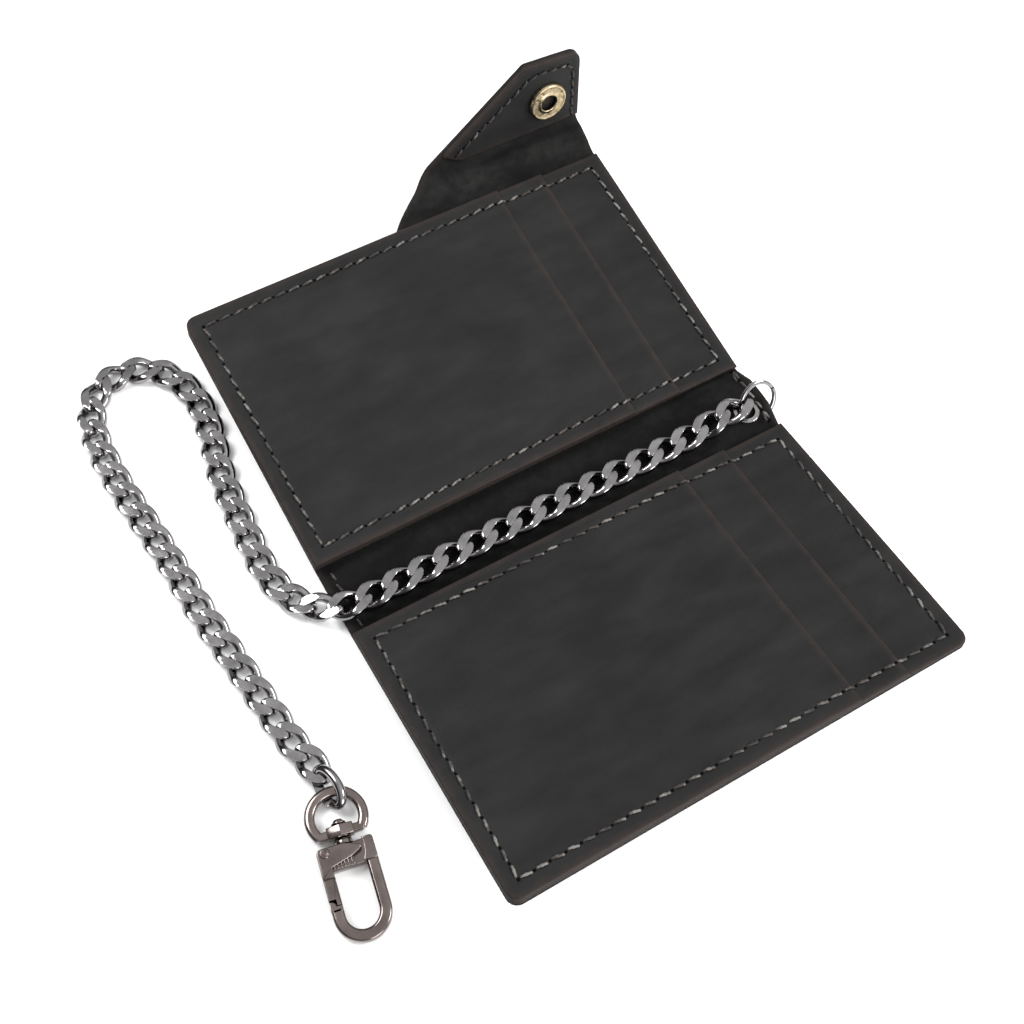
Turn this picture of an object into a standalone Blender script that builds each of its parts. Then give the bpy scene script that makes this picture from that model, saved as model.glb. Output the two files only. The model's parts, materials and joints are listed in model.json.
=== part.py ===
"""Chain wallet: a two-panel leather wallet lying open, its snap tab, its curb chain and the chain's swivel clip.

Metres, +Z up. The origin is under the middle of the spine, on the surface that the wallet lies on. +X runs along
the spine to the chain's ring, +Y across to the panel that carries the tab.
"""

import math

import bmesh
import bpy
from mathutils import Matrix, Vector

# Wallet
SPINE_LENGTH = 0.115
PANEL_WIDTH = 0.069  # from the fold's axis to the panel's free edge
FOLD_HALF_SPAN = 0.0089  # from the middle of the spine to each fold's axis
COVER_THICKNESS = 0.0014
LINING_THICKNESS = 0.0008
POCKET_THICKNESS = 0.0007
MID_POCKET_LENGTH = 0.098  # from the wallet's plain end to the pocket's open edge
FRONT_POCKET_LENGTH = 0.085
CORNER_RADIUS = 0.0025
LINING_SETBACK = 0.0004  # from a fold's axis to the pockets' sewn edge
FOLD_RISE = 0.0009  # a bend's axis above the cover's inner face
UPPER_REST = math.radians(8.7)
LOWER_REST = math.radians(6.0)

# Spine end under the jump ring
ARCH_HEIGHT = 0.0028
ARCH_START = 0.0215  # from the spine's ring end to where it begins to rise
ARCH_FULL = 0.0120  # from the spine's ring end to where it has risen
EYELET_INSET = 0.0067
EYELET_Y = -0.0034
EYELET_BORE_RADIUS = 0.00215
EYELET_WALL = 0.0003
EYELET_FLANGE = 0.0008
EYELET_RIM = 0.0003

# Jump ring
RING_RADIUS = 0.00476
RING_WIRE = 0.00062  # radius
RING_LEAN = math.radians(32.0)  # from upright
RING_LIFT = 0.0016  # its centre above the leather, in its own plane
RING_REACH = 0.0028  # its centre's distance inside the spine's end
RING_SLIT = 0.0004

# Tab
TAB_FACING_THICKNESS = 0.0007
TAB_FACING_SETBACK = 0.0003
TAB_BEND_HEIGHT = 0.0020  # the tab's two bends above the cover's outer face
TAB_EDGE_GAP = 0.0003
TAB_WIDTH = 0.0588  # at its root, measured from the spine's ring end like all the tab's places across
TAB_SLANT = 0.0141  # how far its slanted side comes in between the two bends
TAB_KNEE = (0.56, 0.64)  # share of the slant and of the length where that side turns
TIP_LENGTH = 0.0211
TIP_TOP_WIDTH = 0.0158
TIP_KNEE = (0.0285, 0.0120)  # across, and up from the second bend
TIP_HEEL = (0.0403, 0.0031)
TIP_CORNER_RADIUS = 0.0032
TIP_TOP_RADIUS = 0.0020
FACING_LOW_WIDTH = 0.0347
STRAP_REST = math.radians(18.5)
TIP_REST = math.radians(57.8)

# Snap
SNAP_INSET = 0.0099  # from the ring end
SNAP_UP_TIP = 0.0089
SNAP_SOCKET_RADIUS = 0.00525
SNAP_SOCKET_HEIGHT = 0.0015
SNAP_HOLE_RADIUS = 0.0022
SNAP_STUD_RADIUS = 0.0047
SNAP_STUD_FLANGE = 0.0003
SNAP_STUD_HEIGHT = 0.0012
SNAP_STUD_BULB = 0.0018  # radius
SNAP_CAP_RADIUS = 0.0060
SNAP_CAP_DOME = 0.0012
SNAP_BARREL_RADIUS = 0.0011
SNAP_SPRING_WIRE = 0.0002

# Stitching
SEAM_INSET = 0.0036
TAB_SEAM_INSET = 0.0024
TAB_SEAM_DROP = 0.0034  # below the tip's top edge
SPINE_SEAM_INSET = 0.0029
THREAD_RADIUS = 0.0002

# Chain
CHAIN_WIDTH = 0.0068
CHAIN_THICKNESS = 0.0030

# Swivel clip, along its own axis from the eye's centre
CLIP_EYE = (-0.0785, -0.0429, 0.00215)
CLIP_TURN = math.radians(-101.5)  # the clip's axis from +X
EYE_RADIUS = 0.0055
EYE_WIRE = 0.0011  # radius
EYE_BAR = (0.0024, 0.0041)
BOSS_START = 0.0019
BOSS_HALF_WIDTH = 0.0023
BOSS_HALF_HEIGHT = 0.0019
RIVET_SHANK = 0.0006  # radius
RIVET_HEAD = 0.0015
RIVET_HEAD_HEIGHT = 0.0008
BLOCK = (0.0058, 0.0106)
BLOCK_HALF_WIDTH = 0.0059
BLOCK_HALF_HEIGHT = 0.0021
HOOK_BAR = 0.0025
HOOK_HALF_HEIGHT = 0.0013
HOOK_BEND_CENTRE = 0.0199
GATE_PIVOT = (0.0070, -0.0042)
GATE_PLATE_FLOOR = 0.0005
GATE_REACH = 0.00765  # from its pin to the far side of its head
GATE_PIN_RADIUS = 0.00055
GATE_END = 0.0174
GATE_STEP = 0.0010
RIDGE_COUNT = 5
SPRING_WIRE = 0.00018
SPRING_RADIUS = 0.00115
SPRING_TURNS = 3

# Clearances
LAYER_GAP = 0.0003
FIT_GAP = 0.0003
CLOSED_GAP = 0.0016  # between the two panels' pockets at their free edges, closed
SNAP_CLOSED_GAP = 0.00025

# Worked out from the sizes above
FOLD_HEIGHT = COVER_THICKNESS + FOLD_RISE
LINING_BOTTOM = COVER_THICKNESS + LAYER_GAP
LINING_TOP = LINING_BOTTOM + LINING_THICKNESS
MID_BOTTOM = LINING_TOP + LAYER_GAP
MID_TOP = MID_BOTTOM + POCKET_THICKNESS
FRONT_BOTTOM = MID_TOP + LAYER_GAP
STACK = FRONT_BOTTOM + POCKET_THICKNESS
HALF_LENGTH = SPINE_LENGTH / 2
SNAP_X = HALF_LENGTH - SNAP_INSET
TAB_LEFT = HALF_LENGTH - TAB_WIDTH
MID_EDGE = MID_POCKET_LENGTH - HALF_LENGTH
FRONT_EDGE = FRONT_POCKET_LENGTH - HALF_LENGTH
RELIEF = STACK - FOLD_HEIGHT
CLOSING_LEAN = math.asin((FOLD_HALF_SPAN - CLOSED_GAP / 2) / math.hypot(RELIEF, PANEL_WIDTH)) - math.atan(
    RELIEF / PANEL_WIDTH
)
CLOSED = math.pi / 2 + CLOSING_LEAN  # each panel's angle from flat when the wallet is shut
TAB_CLOSED = math.pi / 2 - CLOSING_LEAN  # each of the tab's two bends when it is snapped shut
FACING_BOTTOM = COVER_THICKNESS + LAYER_GAP
FACING_TOP = FACING_BOTTOM + TAB_FACING_THICKNESS

COLOURS = {
    # name: (red, green, blue, roughness, metallic)
    "leather": (0.032, 0.031, 0.032, 0.55, 0.0),
    "suede": (0.012, 0.012, 0.012, 0.95, 0.0),
    "thread": (0.030, 0.024, 0.022, 0.80, 0.0),
    "black_nickel": (0.21, 0.21, 0.22, 0.22, 1.0),
    "gunmetal": (0.20, 0.16, 0.15, 0.28, 1.0),
    "antique_brass": (0.42, 0.31, 0.15, 0.35, 1.0),
}


def clear_scene():
    for old in list(bpy.data.objects):
        bpy.data.objects.remove(old, do_unlink=True)
    for old in list(bpy.data.collections):
        bpy.data.collections.remove(old)


def new_collection(name):
    made = bpy.data.collections.new(name)
    bpy.context.scene.collection.children.link(made)
    return made


def make_materials():
    made = {}
    for name, (red, green, blue, roughness, metallic) in COLOURS.items():
        material = bpy.data.materials.new(name)
        material.use_nodes = True
        shader = material.node_tree.nodes["Principled BSDF"]
        shader.inputs["Base Color"].default_value = (red, green, blue, 1.0)
        shader.inputs["Roughness"].default_value = roughness
        shader.inputs["Metallic"].default_value = metallic
        made[name] = material
    return made


clear_scene()
PARTS = new_collection("chain_wallet")
CUTTERS = new_collection("cutters")
MATERIALS = make_materials()


# ---------------------------------------------------------------- helpers


def add_object(name, data, material, parent, place=None):
    obj = bpy.data.objects.new(name, data)
    PARTS.objects.link(obj)
    data.materials.append(MATERIALS[material])
    obj.parent = parent
    if place is not None:
        obj.matrix_basis = place
    return obj


def hinge(name, parent, place, angle=0.0):
    """An empty on a joint's axis, turned about X to the joint's angle at rest."""
    empty = bpy.data.objects.new(name, None)
    PARTS.objects.link(empty)
    empty.parent = parent
    empty.matrix_basis = Matrix.Translation(place) @ Matrix.Rotation(angle, 4, "X")
    return empty


def filleted(corners, steps=4):
    """Corners as (x, y, radius), each rounded to its radius."""
    points = []
    for i, (x, y, radius) in enumerate(corners):
        here = Vector((x, y))
        if radius == 0:
            points.append(here)
            continue
        before = (Vector(corners[i - 1][:2]) - here).normalized()
        after = (Vector(corners[(i + 1) % len(corners)][:2]) - here).normalized()
        half = before.angle(after) / 2
        centre = here + (before + after).normalized() * (radius / math.sin(half))
        reach = radius / math.tan(half)
        start = (here + before * reach - centre).normalized()
        end = (here + after * reach - centre).normalized()
        points += [centre + radius * start.slerp(end, k / steps) for k in range(steps + 1)]
    return points


def mesh_of_curve(curve):
    """The curve's evaluated shape as a closed mesh, its caps welded."""
    guide = bpy.data.objects.new(curve.name, curve)
    PARTS.objects.link(guide)
    graph = bpy.context.evaluated_depsgraph_get()
    mesh = bpy.data.meshes.new_from_object(guide.evaluated_get(graph))
    bpy.data.objects.remove(guide)
    shape = bmesh.new()
    shape.from_mesh(mesh)
    bmesh.ops.remove_doubles(shape, verts=shape.verts, dist=1e-6)
    bmesh.ops.recalc_face_normals(shape, faces=shape.faces)
    shape.to_mesh(mesh)
    shape.free()
    return mesh


def poly_spline(curve, points, cyclic):
    spline = curve.splines.new("POLY")
    spline.points.add(len(points) - 1)
    for spot, point in zip(spline.points, points):
        spot.co = (*Vector(point).to_3d(), 1.0)
    spline.use_cyclic_u = cyclic


def plate_mesh(name, outline, bottom, top):
    """A flat outline filled and extruded from bottom to top."""
    curve = bpy.data.curves.new(name, "CURVE")
    curve.dimensions = "2D"
    curve.fill_mode = "BOTH"
    curve.extrude = (top - bottom) / 2
    poly_spline(curve, outline, True)
    mesh = mesh_of_curve(curve)
    mesh.transform(Matrix.Translation((0, 0, (top + bottom) / 2)))
    return mesh


def plate(name, outline, bottom, top, material, parent, place=None):
    return add_object(name, plate_mesh(name, outline, bottom, top), material, parent, place)


def box_mesh(name, low, high):
    shape = bmesh.new()
    bmesh.ops.create_cube(shape, size=1.0)
    low, high = Vector(low), Vector(high)
    for vertex in shape.verts:
        vertex.co = [(low[i] + high[i]) / 2 + vertex.co[i] * (high[i] - low[i]) for i in range(3)]
    mesh = bpy.data.meshes.new(name)
    shape.to_mesh(mesh)
    shape.free()
    return mesh


def cylinder_mesh(name, radius, bottom, top, segments=24, centre=(0.0, 0.0)):
    shape = bmesh.new()
    place = Matrix.Translation((centre[0], centre[1], (bottom + top) / 2))
    bmesh.ops.create_cone(
        shape, cap_ends=True, segments=segments, radius1=radius, radius2=radius, depth=top - bottom, matrix=place
    )
    mesh = bpy.data.meshes.new(name)
    shape.to_mesh(mesh)
    shape.free()
    return mesh


def turned(name, profile, material, parent, place=None, closed=True, steps=28):
    """A profile of (radius, height) points, outer side top to bottom, turned about the local Z axis."""
    mesh = bpy.data.meshes.new(name)
    edges = [(i, i + 1) for i in range(len(profile) - 1)]
    if closed:
        edges.append((len(profile) - 1, 0))
    mesh.from_pydata([(radius, 0.0, height) for radius, height in profile], edges, [])
    obj = add_object(name, mesh, material, parent, place)
    screw = obj.modifiers.new("turn", "SCREW")
    screw.steps = steps
    screw.render_steps = steps
    screw.use_merge_vertices = True
    screw.merge_threshold = 1e-6
    return obj


def wire(name, points, radius, material, parent, cyclic=False, place=None):
    curve = bpy.data.curves.new(name, "CURVE")
    curve.dimensions = "3D"
    curve.bevel_depth = radius
    curve.bevel_resolution = 2
    curve.use_fill_caps = not cyclic
    poly_spline(curve, points, cyclic)
    return add_object(name, curve, material, parent, place)


def boolean(obj, mesh, operation="DIFFERENCE"):
    """A cut or a join by a hidden helper that sits in the same frame as the object."""
    helper = bpy.data.objects.new(f"{obj.name}_{mesh.name}", mesh)
    CUTTERS.objects.link(helper)
    helper.parent = obj.parent
    helper.matrix_basis = obj.matrix_basis
    helper.hide_render = True
    helper.display_type = "WIRE"
    modifier = obj.modifiers.new(mesh.name, "BOOLEAN")
    modifier.operation = operation
    modifier.object = helper
    return obj


def smooth_step(value, start, end):
    share = min(max((value - start) / (end - start), 0.0), 1.0)
    return share * share * (3 - 2 * share)


# ---------------------------------------------------------------- spine


def arch(x, y):
    """How far the spine's leather stands off the surface: flat, but lifted near the eyelet by the ring beneath it."""
    side = FOLD_HALF_SPAN + (EYELET_Y if y < EYELET_Y else -EYELET_Y)
    across = min(abs(y - EYELET_Y) / side, 1.0)
    along = smooth_step(x, HALF_LENGTH - ARCH_START, HALF_LENGTH - ARCH_FULL)
    return ARCH_HEIGHT * along * math.cos(math.pi / 2 * across * across) ** 2


def make_spine():
    """The cover between the two folds, with the eyelet's hole and its two shallow seats."""
    steps_along, steps_across = 13, 11
    flat_end = HALF_LENGTH - ARCH_START - 0.002
    half_width = FOLD_HALF_SPAN - FIT_GAP / 2
    shape = bmesh.new()
    bmesh.ops.create_grid(shape, x_segments=steps_along, y_segments=steps_across, size=1.0)
    for vertex in shape.verts:
        column = round((vertex.co.x + 1) / 2 * steps_along)
        x = -HALF_LENGTH if column == 0 else flat_end + (HALF_LENGTH - flat_end) * (column - 1) / (steps_along - 1)
        y = vertex.co.y * half_width
        vertex.co = (x, y, arch(x, y))
    raised = bmesh.ops.extrude_face_region(shape, geom=shape.faces[:])["geom"]
    tops = [item for item in raised if isinstance(item, bmesh.types.BMVert)]
    bmesh.ops.translate(shape, verts=tops, vec=(0, 0, COVER_THICKNESS))
    bmesh.ops.recalc_face_normals(shape, faces=shape.faces)
    mesh = bpy.data.meshes.new("cover_spine")
    shape.to_mesh(mesh)
    shape.free()
    spine = add_object("cover_spine", mesh, "suede", None)
    outer = EYELET_BORE_RADIUS + EYELET_WALL
    seat = outer + EYELET_FLANGE + FIT_GAP
    x, over = HALF_LENGTH - EYELET_INSET, 0.003
    bottom, top = ARCH_HEIGHT, ARCH_HEIGHT + COVER_THICKNESS
    hole = cylinder_mesh("hole", outer + FIT_GAP, bottom - over, top + over, 28, (x, EYELET_Y))
    boolean(spine, hole)
    boolean(spine, cylinder_mesh("top_seat", seat, top - FIT_GAP, top + over, 28, (x, EYELET_Y)))
    boolean(spine, cylinder_mesh("washer_seat", seat, bottom - over, bottom, 28, (x, EYELET_Y)))
    return spine


def make_eyelet():
    """The eyelet's tube and upper flange, and the washer under the leather."""
    inner = EYELET_BORE_RADIUS
    outer = inner + EYELET_WALL
    bottom, top = ARCH_HEIGHT - FIT_GAP - EYELET_RIM, ARCH_HEIGHT + COVER_THICKNESS
    place = Matrix.Translation((HALF_LENGTH - EYELET_INSET, EYELET_Y, 0))
    flange = outer + EYELET_FLANGE
    turned(
        "eyelet",
        [
            (inner + 0.0001, top + EYELET_RIM),
            (flange - 0.0002, top + EYELET_RIM),
            (flange, top + EYELET_RIM * 0.5),
            (flange, top),
            (outer, top),
            (outer, bottom),
            (inner, bottom),
            (inner, top + EYELET_RIM * 0.5),
        ],
        "black_nickel",
        None,
        place,
    )
    turned(
        "eyelet_washer",
        [
            (outer + FIT_GAP, bottom + EYELET_RIM),
            (flange, bottom + EYELET_RIM),
            (flange, bottom),
            (outer + FIT_GAP, bottom),
        ],
        "black_nickel",
        None,
        place,
    )


def make_spine_thread(name, x):
    """A run of stitching across one end of the spine, laid along the leather."""
    reach = FOLD_HALF_SPAN - 0.0009
    steps = 14
    height = COVER_THICKNESS + LAYER_GAP + THREAD_RADIUS
    points = []
    for k in range(steps + 1):
        y = -reach + 2 * reach * k / steps
        points.append((x, y, arch(x, y) + height))
    wire(name, points, THREAD_RADIUS, "thread", None)


def make_jump_ring():
    """A slit wire ring that goes through the eyelet and round the spine's end."""
    in_plane = Vector((0.0, math.sin(RING_LEAN), math.cos(RING_LEAN)))
    leather = Vector((HALF_LENGTH - RING_REACH, EYELET_Y, ARCH_HEIGHT + COVER_THICKNESS / 2))
    centre = leather + in_plane * RING_LIFT
    place = Matrix.Translation(centre) @ Matrix.Rotation(math.pi / 2 - RING_LEAN, 4, "X")
    bpy.ops.mesh.primitive_torus_add(
        major_radius=RING_RADIUS, minor_radius=RING_WIRE, major_segments=48, minor_segments=10
    )
    mesh = bpy.context.object.data
    bpy.data.objects.remove(bpy.context.object)
    ring = add_object("jump_ring", mesh, "black_nickel", None, place)
    reach = RING_RADIUS + 2 * RING_WIRE
    slit = box_mesh("slit", (0.0, -RING_SLIT / 2, -2 * RING_WIRE), (reach, RING_SLIT / 2, 2 * RING_WIRE))
    slit.transform(Matrix.Rotation(math.radians(35.0), 4, "Z"))
    boolean(ring, slit)


# ---------------------------------------------------------------- panels


def panel_outline(side, start, end, left, right, left_radius, right_radius):
    """A rectangle from the fold to the free edge, its two outer corners rounded."""
    return filleted(
        [
            (left, side * start, 0),
            (right, side * start, 0),
            (right, side * end, right_radius),
            (left, side * end, left_radius),
        ]
    )


def make_panel(name, side, parent, right_radius):
    """One half: its cover, full lining, two stepped card pockets and the seam round them, all in the fold's frame."""
    gap = FIT_GAP / 2
    outer = panel_outline(side, gap, PANEL_WIDTH, -HALF_LENGTH, HALF_LENGTH, CORNER_RADIUS, right_radius)
    layers = (
        ("lining", LINING_BOTTOM, LINING_TOP, HALF_LENGTH, CORNER_RADIUS),
        ("mid_pocket", MID_BOTTOM, MID_TOP, MID_EDGE, 0),
        ("front_pocket", FRONT_BOTTOM, STACK, FRONT_EDGE, 0),
    )
    made = {"cover": plate(f"cover_{name}", outer, -FOLD_HEIGHT, COVER_THICKNESS - FOLD_HEIGHT, "leather", parent)}
    for layer, bottom, top, edge, radius in layers:
        outline = panel_outline(side, LINING_SETBACK, PANEL_WIDTH, -HALF_LENGTH, edge, CORNER_RADIUS, radius)
        made[layer] = plate(
            f"{name}_{layer}", outline, bottom - FOLD_HEIGHT, top - FOLD_HEIGHT, "leather", parent
        )
    wire(f"{name}_thread", seam_points(side), THREAD_RADIUS, "thread", parent, cyclic=True)
    return made


def seam_points(side):
    """The seam loop, which steps down at each pocket's open edge."""
    left, right = -HALF_LENGTH + SEAM_INSET, HALF_LENGTH - SEAM_INSET
    near, far = LINING_SETBACK + SEAM_INSET, PANEL_WIDTH - SEAM_INSET
    lift = LAYER_GAP + THREAD_RADIUS - FOLD_HEIGHT
    run = 0.0010
    beyond = LAYER_GAP + THREAD_RADIUS
    stations = [
        (left, STACK),
        (FRONT_EDGE + beyond, STACK),
        (FRONT_EDGE + beyond + run, MID_TOP),
        (MID_EDGE + beyond, MID_TOP),
        (MID_EDGE + beyond + run, LINING_TOP),
        (right, LINING_TOP),
    ]
    out = [(x, side * near, height + lift) for x, height in stations]
    back = [(x, side * far, height + lift) for x, height in reversed(stations)]
    return out + back


# ---------------------------------------------------------------- tab


def strap_length():
    """From the tab's first bend to its second, so that the socket seats on the stud when the wallet is shut."""
    snap_height = SNAP_SOCKET_HEIGHT + SNAP_CLOSED_GAP + SNAP_STUD_FLANGE

    def gap(length):
        socket = closed_socket(length)
        return -FOLD_HEIGHT - socket.z

    at_none, slope = gap(0.0), gap(1.0) - gap(0.0)
    return (snap_height - at_none) / slope


def closed_socket(length):
    """Where the middle of the socket's seat lies in the lower panel's frame when everything is shut."""
    upper = Matrix.Translation((0, FOLD_HALF_SPAN, 0)) @ Matrix.Rotation(CLOSED, 4, "X")
    first = Matrix.Translation((0, PANEL_WIDTH + TAB_EDGE_GAP, TAB_BEND_HEIGHT - FOLD_HEIGHT))
    second = Matrix.Translation((0, length, 0))
    bend = Matrix.Rotation(TAB_CLOSED, 4, "X")
    lower = Matrix.Translation((0, -FOLD_HALF_SPAN, 0)) @ Matrix.Rotation(-CLOSED, 4, "X")
    seat = Vector((SNAP_X, SNAP_UP_TIP, FACING_TOP - TAB_BEND_HEIGHT))
    return lower.inverted() @ upper @ first @ bend @ second @ bend @ seat


def make_strap(parent, length):
    """The cover's tongue between the tab's two bends."""
    gap = FIT_GAP / 2
    knee_in, knee_up = TAB_KNEE
    outline = filleted(
        [
            (TAB_LEFT, gap, 0),
            (HALF_LENGTH, gap, 0),
            (HALF_LENGTH, length - gap, 0),
            (TAB_LEFT + TAB_SLANT, length - gap, 0),
            (TAB_LEFT + TAB_SLANT * knee_in, length * knee_up, 0),
        ]
    )
    bottom = -TAB_BEND_HEIGHT
    return plate("tab_strap", outline, bottom, bottom + COVER_THICKNESS, "suede", parent)


def tip_outline(start, low_left):
    """The tab's pointed end: a slanted left side, a short top edge and a rounded corner over the snap."""
    knee, heel = TIP_KNEE, TIP_HEEL
    return filleted(
        [
            (low_left, start, 0),
            (HALF_LENGTH, start, 0),
            (HALF_LENGTH, TIP_LENGTH, TIP_CORNER_RADIUS),
            (HALF_LENGTH - TIP_TOP_WIDTH, TIP_LENGTH, TIP_TOP_RADIUS),
            (HALF_LENGTH - knee[0], knee[1], 0),
            (HALF_LENGTH - heel[0], heel[1], 0),
        ]
    )


def tab_seam():
    """The tip's seam: up beside the ring end, round the corner, along the top and down the slanted side."""
    right, top = HALF_LENGTH - TAB_SEAM_INSET, TIP_LENGTH - TAB_SEAM_DROP
    corner = TIP_CORNER_RADIUS - TAB_SEAM_INSET
    left = HALF_LENGTH - TIP_TOP_WIDTH + TAB_SEAM_INSET
    knee, heel = TIP_KNEE, TIP_HEEL
    return [
        (right, TAB_FACING_SETBACK + 2 * THREAD_RADIUS + FIT_GAP),
        (right, top - corner),
        (right - corner, top),
        (left, top),
        (HALF_LENGTH - knee[0] + TAB_SEAM_INSET, knee[1] - TAB_SEAM_INSET / 2),
        (HALF_LENGTH - heel[0] + 2 * TAB_SEAM_INSET, heel[1] - FIT_GAP),
    ]


def make_tip(parent):
    """The tab's end, its facing and its seam, with the snap's female half through both layers."""
    base = -TAB_BEND_HEIGHT
    spot = (SNAP_X, SNAP_UP_TIP)
    hole = SNAP_BARREL_RADIUS + FIT_GAP
    outline = tip_outline(FIT_GAP / 2, TAB_LEFT + TAB_SLANT)
    tip = plate("tab_tip", outline, base, base + COVER_THICKNESS, "leather", parent)
    facing_outline = tip_outline(TAB_FACING_SETBACK, HALF_LENGTH - FACING_LOW_WIDTH)
    facing = plate(
        "tab_lining", facing_outline, base + FACING_BOTTOM, base + FACING_TOP, "leather", parent
    )
    over = 0.003
    boolean(tip, cylinder_mesh("barrel_hole", hole, base - over, base + over, 20, spot))
    boolean(facing, cylinder_mesh("barrel_hole", hole, base - over, base + FACING_TOP + over, 20, spot))
    seat = base + FACING_TOP
    boolean(
        facing,
        cylinder_mesh("socket_seat", SNAP_SOCKET_RADIUS + FIT_GAP, seat - FIT_GAP, seat + over, 28, spot),
    )
    boolean(
        tip, cylinder_mesh("cap_seat", SNAP_CAP_RADIUS + FIT_GAP, base - over, base + FIT_GAP, 28, spot)
    )
    lift = base + FACING_TOP + LAYER_GAP + THREAD_RADIUS
    points = [(x, y, lift) for x, y in tab_seam()]
    wire("tab_thread", points, THREAD_RADIUS, "thread", parent)
    make_female_snap(parent, base)


def make_female_snap(parent, base):
    """The socket on the facing, the wire spring inside it, and the cap whose barrel holds them."""
    seat = base + FACING_TOP
    mouth = seat + SNAP_SOCKET_HEIGHT
    place = Matrix.Translation((SNAP_X, SNAP_UP_TIP, 0))
    wall, lip = 0.0005, 0.0004
    room = SNAP_STUD_BULB + 0.0013
    rim = SNAP_SOCKET_RADIUS
    turned(
        "snap_socket",
        [
            (SNAP_HOLE_RADIUS, mouth - lip),
            (SNAP_HOLE_RADIUS + 0.0001, mouth),
            (rim - 0.0012, mouth),
            (rim - 0.0003, mouth - 0.0004),
            (rim, mouth - 0.0009),
            (rim, seat),
            (rim - wall, seat),
            (rim - wall, mouth - 0.0010),
            (room, mouth - lip),
        ],
        "antique_brass",
        parent,
        place,
        steps=32,
    )
    spring_height = mouth - lip - FIT_GAP * 0.7 - SNAP_SPRING_WIRE
    spring_radius = room - SNAP_SPRING_WIRE - 0.0002
    turn = [math.radians(30 + 300 * k / 20) for k in range(21)]
    points = [(spring_radius * math.cos(t), spring_radius * math.sin(t), spring_height) for t in turn]
    wire("snap_spring", points, SNAP_SPRING_WIRE, "black_nickel", parent, place=place)
    dome, radius, barrel = base - SNAP_CAP_DOME, SNAP_CAP_RADIUS, SNAP_BARREL_RADIUS
    turned(
        "snap_cap",
        [
            (0.0, seat + 0.0002),
            (barrel, seat + 0.0002),
            (barrel, base),
            (radius - 0.0003, base),
            (radius, base - 0.0002),
            (radius * 0.93, dome + SNAP_CAP_DOME * 0.40),
            (radius * 0.70, dome + SNAP_CAP_DOME * 0.16),
            (radius * 0.36, dome + SNAP_CAP_DOME * 0.03),
            (0.0, dome),
        ],
        "antique_brass",
        parent,
        place,
        closed=False,
        steps=32,
    )


def make_male_snap(parent, cover, length):
    """The stud on the lower panel's outer face, where the shut tab brings the socket, and the post behind it."""
    spot = closed_socket(length)
    x, y = spot.x, spot.y
    outer, inner = -FOLD_HEIGHT, COVER_THICKNESS - FOLD_HEIGHT
    over = 0.003
    post_head, post_radius = 0.0036, 0.0010
    recess = 0.0002
    boolean(cover, cylinder_mesh("post_hole", post_radius + FIT_GAP, outer - over, inner + over, 20, (x, y)))
    boolean(
        cover, cylinder_mesh("stud_seat", SNAP_STUD_RADIUS + FIT_GAP, outer - over, outer + FIT_GAP, 28, (x, y))
    )
    boolean(
        cover,
        cylinder_mesh("post_seat", post_head + FIT_GAP, inner - FIT_GAP - recess, inner + over, 28, (x, y)),
    )
    place = Matrix.Translation((x, y, 0))
    flange, bulb, neck = SNAP_STUD_RADIUS, SNAP_STUD_BULB, SNAP_STUD_BULB - 0.0003
    bore = post_radius + FIT_GAP
    end = outer - SNAP_STUD_FLANGE - SNAP_STUD_HEIGHT
    turned(
        "snap_stud",
        [
            (bore, outer),
            (flange, outer),
            (flange, outer - SNAP_STUD_FLANGE * 0.6),
            (flange - 0.0003, outer - SNAP_STUD_FLANGE),
            (neck, outer - SNAP_STUD_FLANGE),
            (neck, end + 0.0007),
            (bulb, end + 0.0004),
            (bulb - 0.0003, end),
            (bore, end),
        ],
        "antique_brass",
        parent,
        place,
    )
    turned(
        "snap_post",
        [
            (0.0, inner),
            (post_head, inner),
            (post_head, inner - recess),
            (post_radius, inner - recess),
            (post_radius, end + 0.0002),
            (0.0, end + 0.0002),
        ],
        "antique_brass",
        parent,
        place,
        closed=False,
    )


# ---------------------------------------------------------------- chain


CHAIN_ROUTE = [
    # from the jump ring, along the spine, off its plain end and round on the surface to the clip
    (0.0472, -0.0026, 0.0062),
    (0.0440, -0.0026, 0.0060),
    (0.0395, -0.0027, 0.0050),
    (0.0345, -0.0028, 0.0041),
    (0.0200, -0.0028, 0.0039),
    (0.0000, -0.0027, 0.0039),
    (-0.0200, -0.0027, 0.0039),
    (-0.0400, -0.0029, 0.0039),
    (-0.0530, -0.0027, 0.0039),
    (-0.0592, -0.0008, 0.0034),
    (-0.0635, 0.0034, 0.0022),
    (-0.0662, 0.0092, 0.0016),
    (-0.0672, 0.0160, 0.0016),
    (-0.0670, 0.0240, 0.0016),
    (-0.0664, 0.0330, 0.0016),
    (-0.0655, 0.0420, 0.0016),
    (-0.0636, 0.0505, 0.0016),
    (-0.0622, 0.0580, 0.0016),
    (-0.0622, 0.0655, 0.0016),
    (-0.0645, 0.0725, 0.0016),
    (-0.0690, 0.0772, 0.0016),
    (-0.0750, 0.0790, 0.0016),
    (-0.0810, 0.0772, 0.0016),
    (-0.0850, 0.0722, 0.0016),
    (-0.0869, 0.0650, 0.0016),
    (-0.0872, 0.0570, 0.0016),
    (-0.0866, 0.0470, 0.0016),
    (-0.0855, 0.0370, 0.0016),
    (-0.0845, 0.0260, 0.0016),
    (-0.0837, 0.0130, 0.0016),
    (-0.0822, 0.0000, 0.0016),
    (-0.0808, -0.0120, 0.0016),
    (-0.0795, -0.0230, 0.0016),
    (-0.0777, -0.0310, 0.0016),
    (-0.0772, -0.0351, 0.0018),
]


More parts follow.
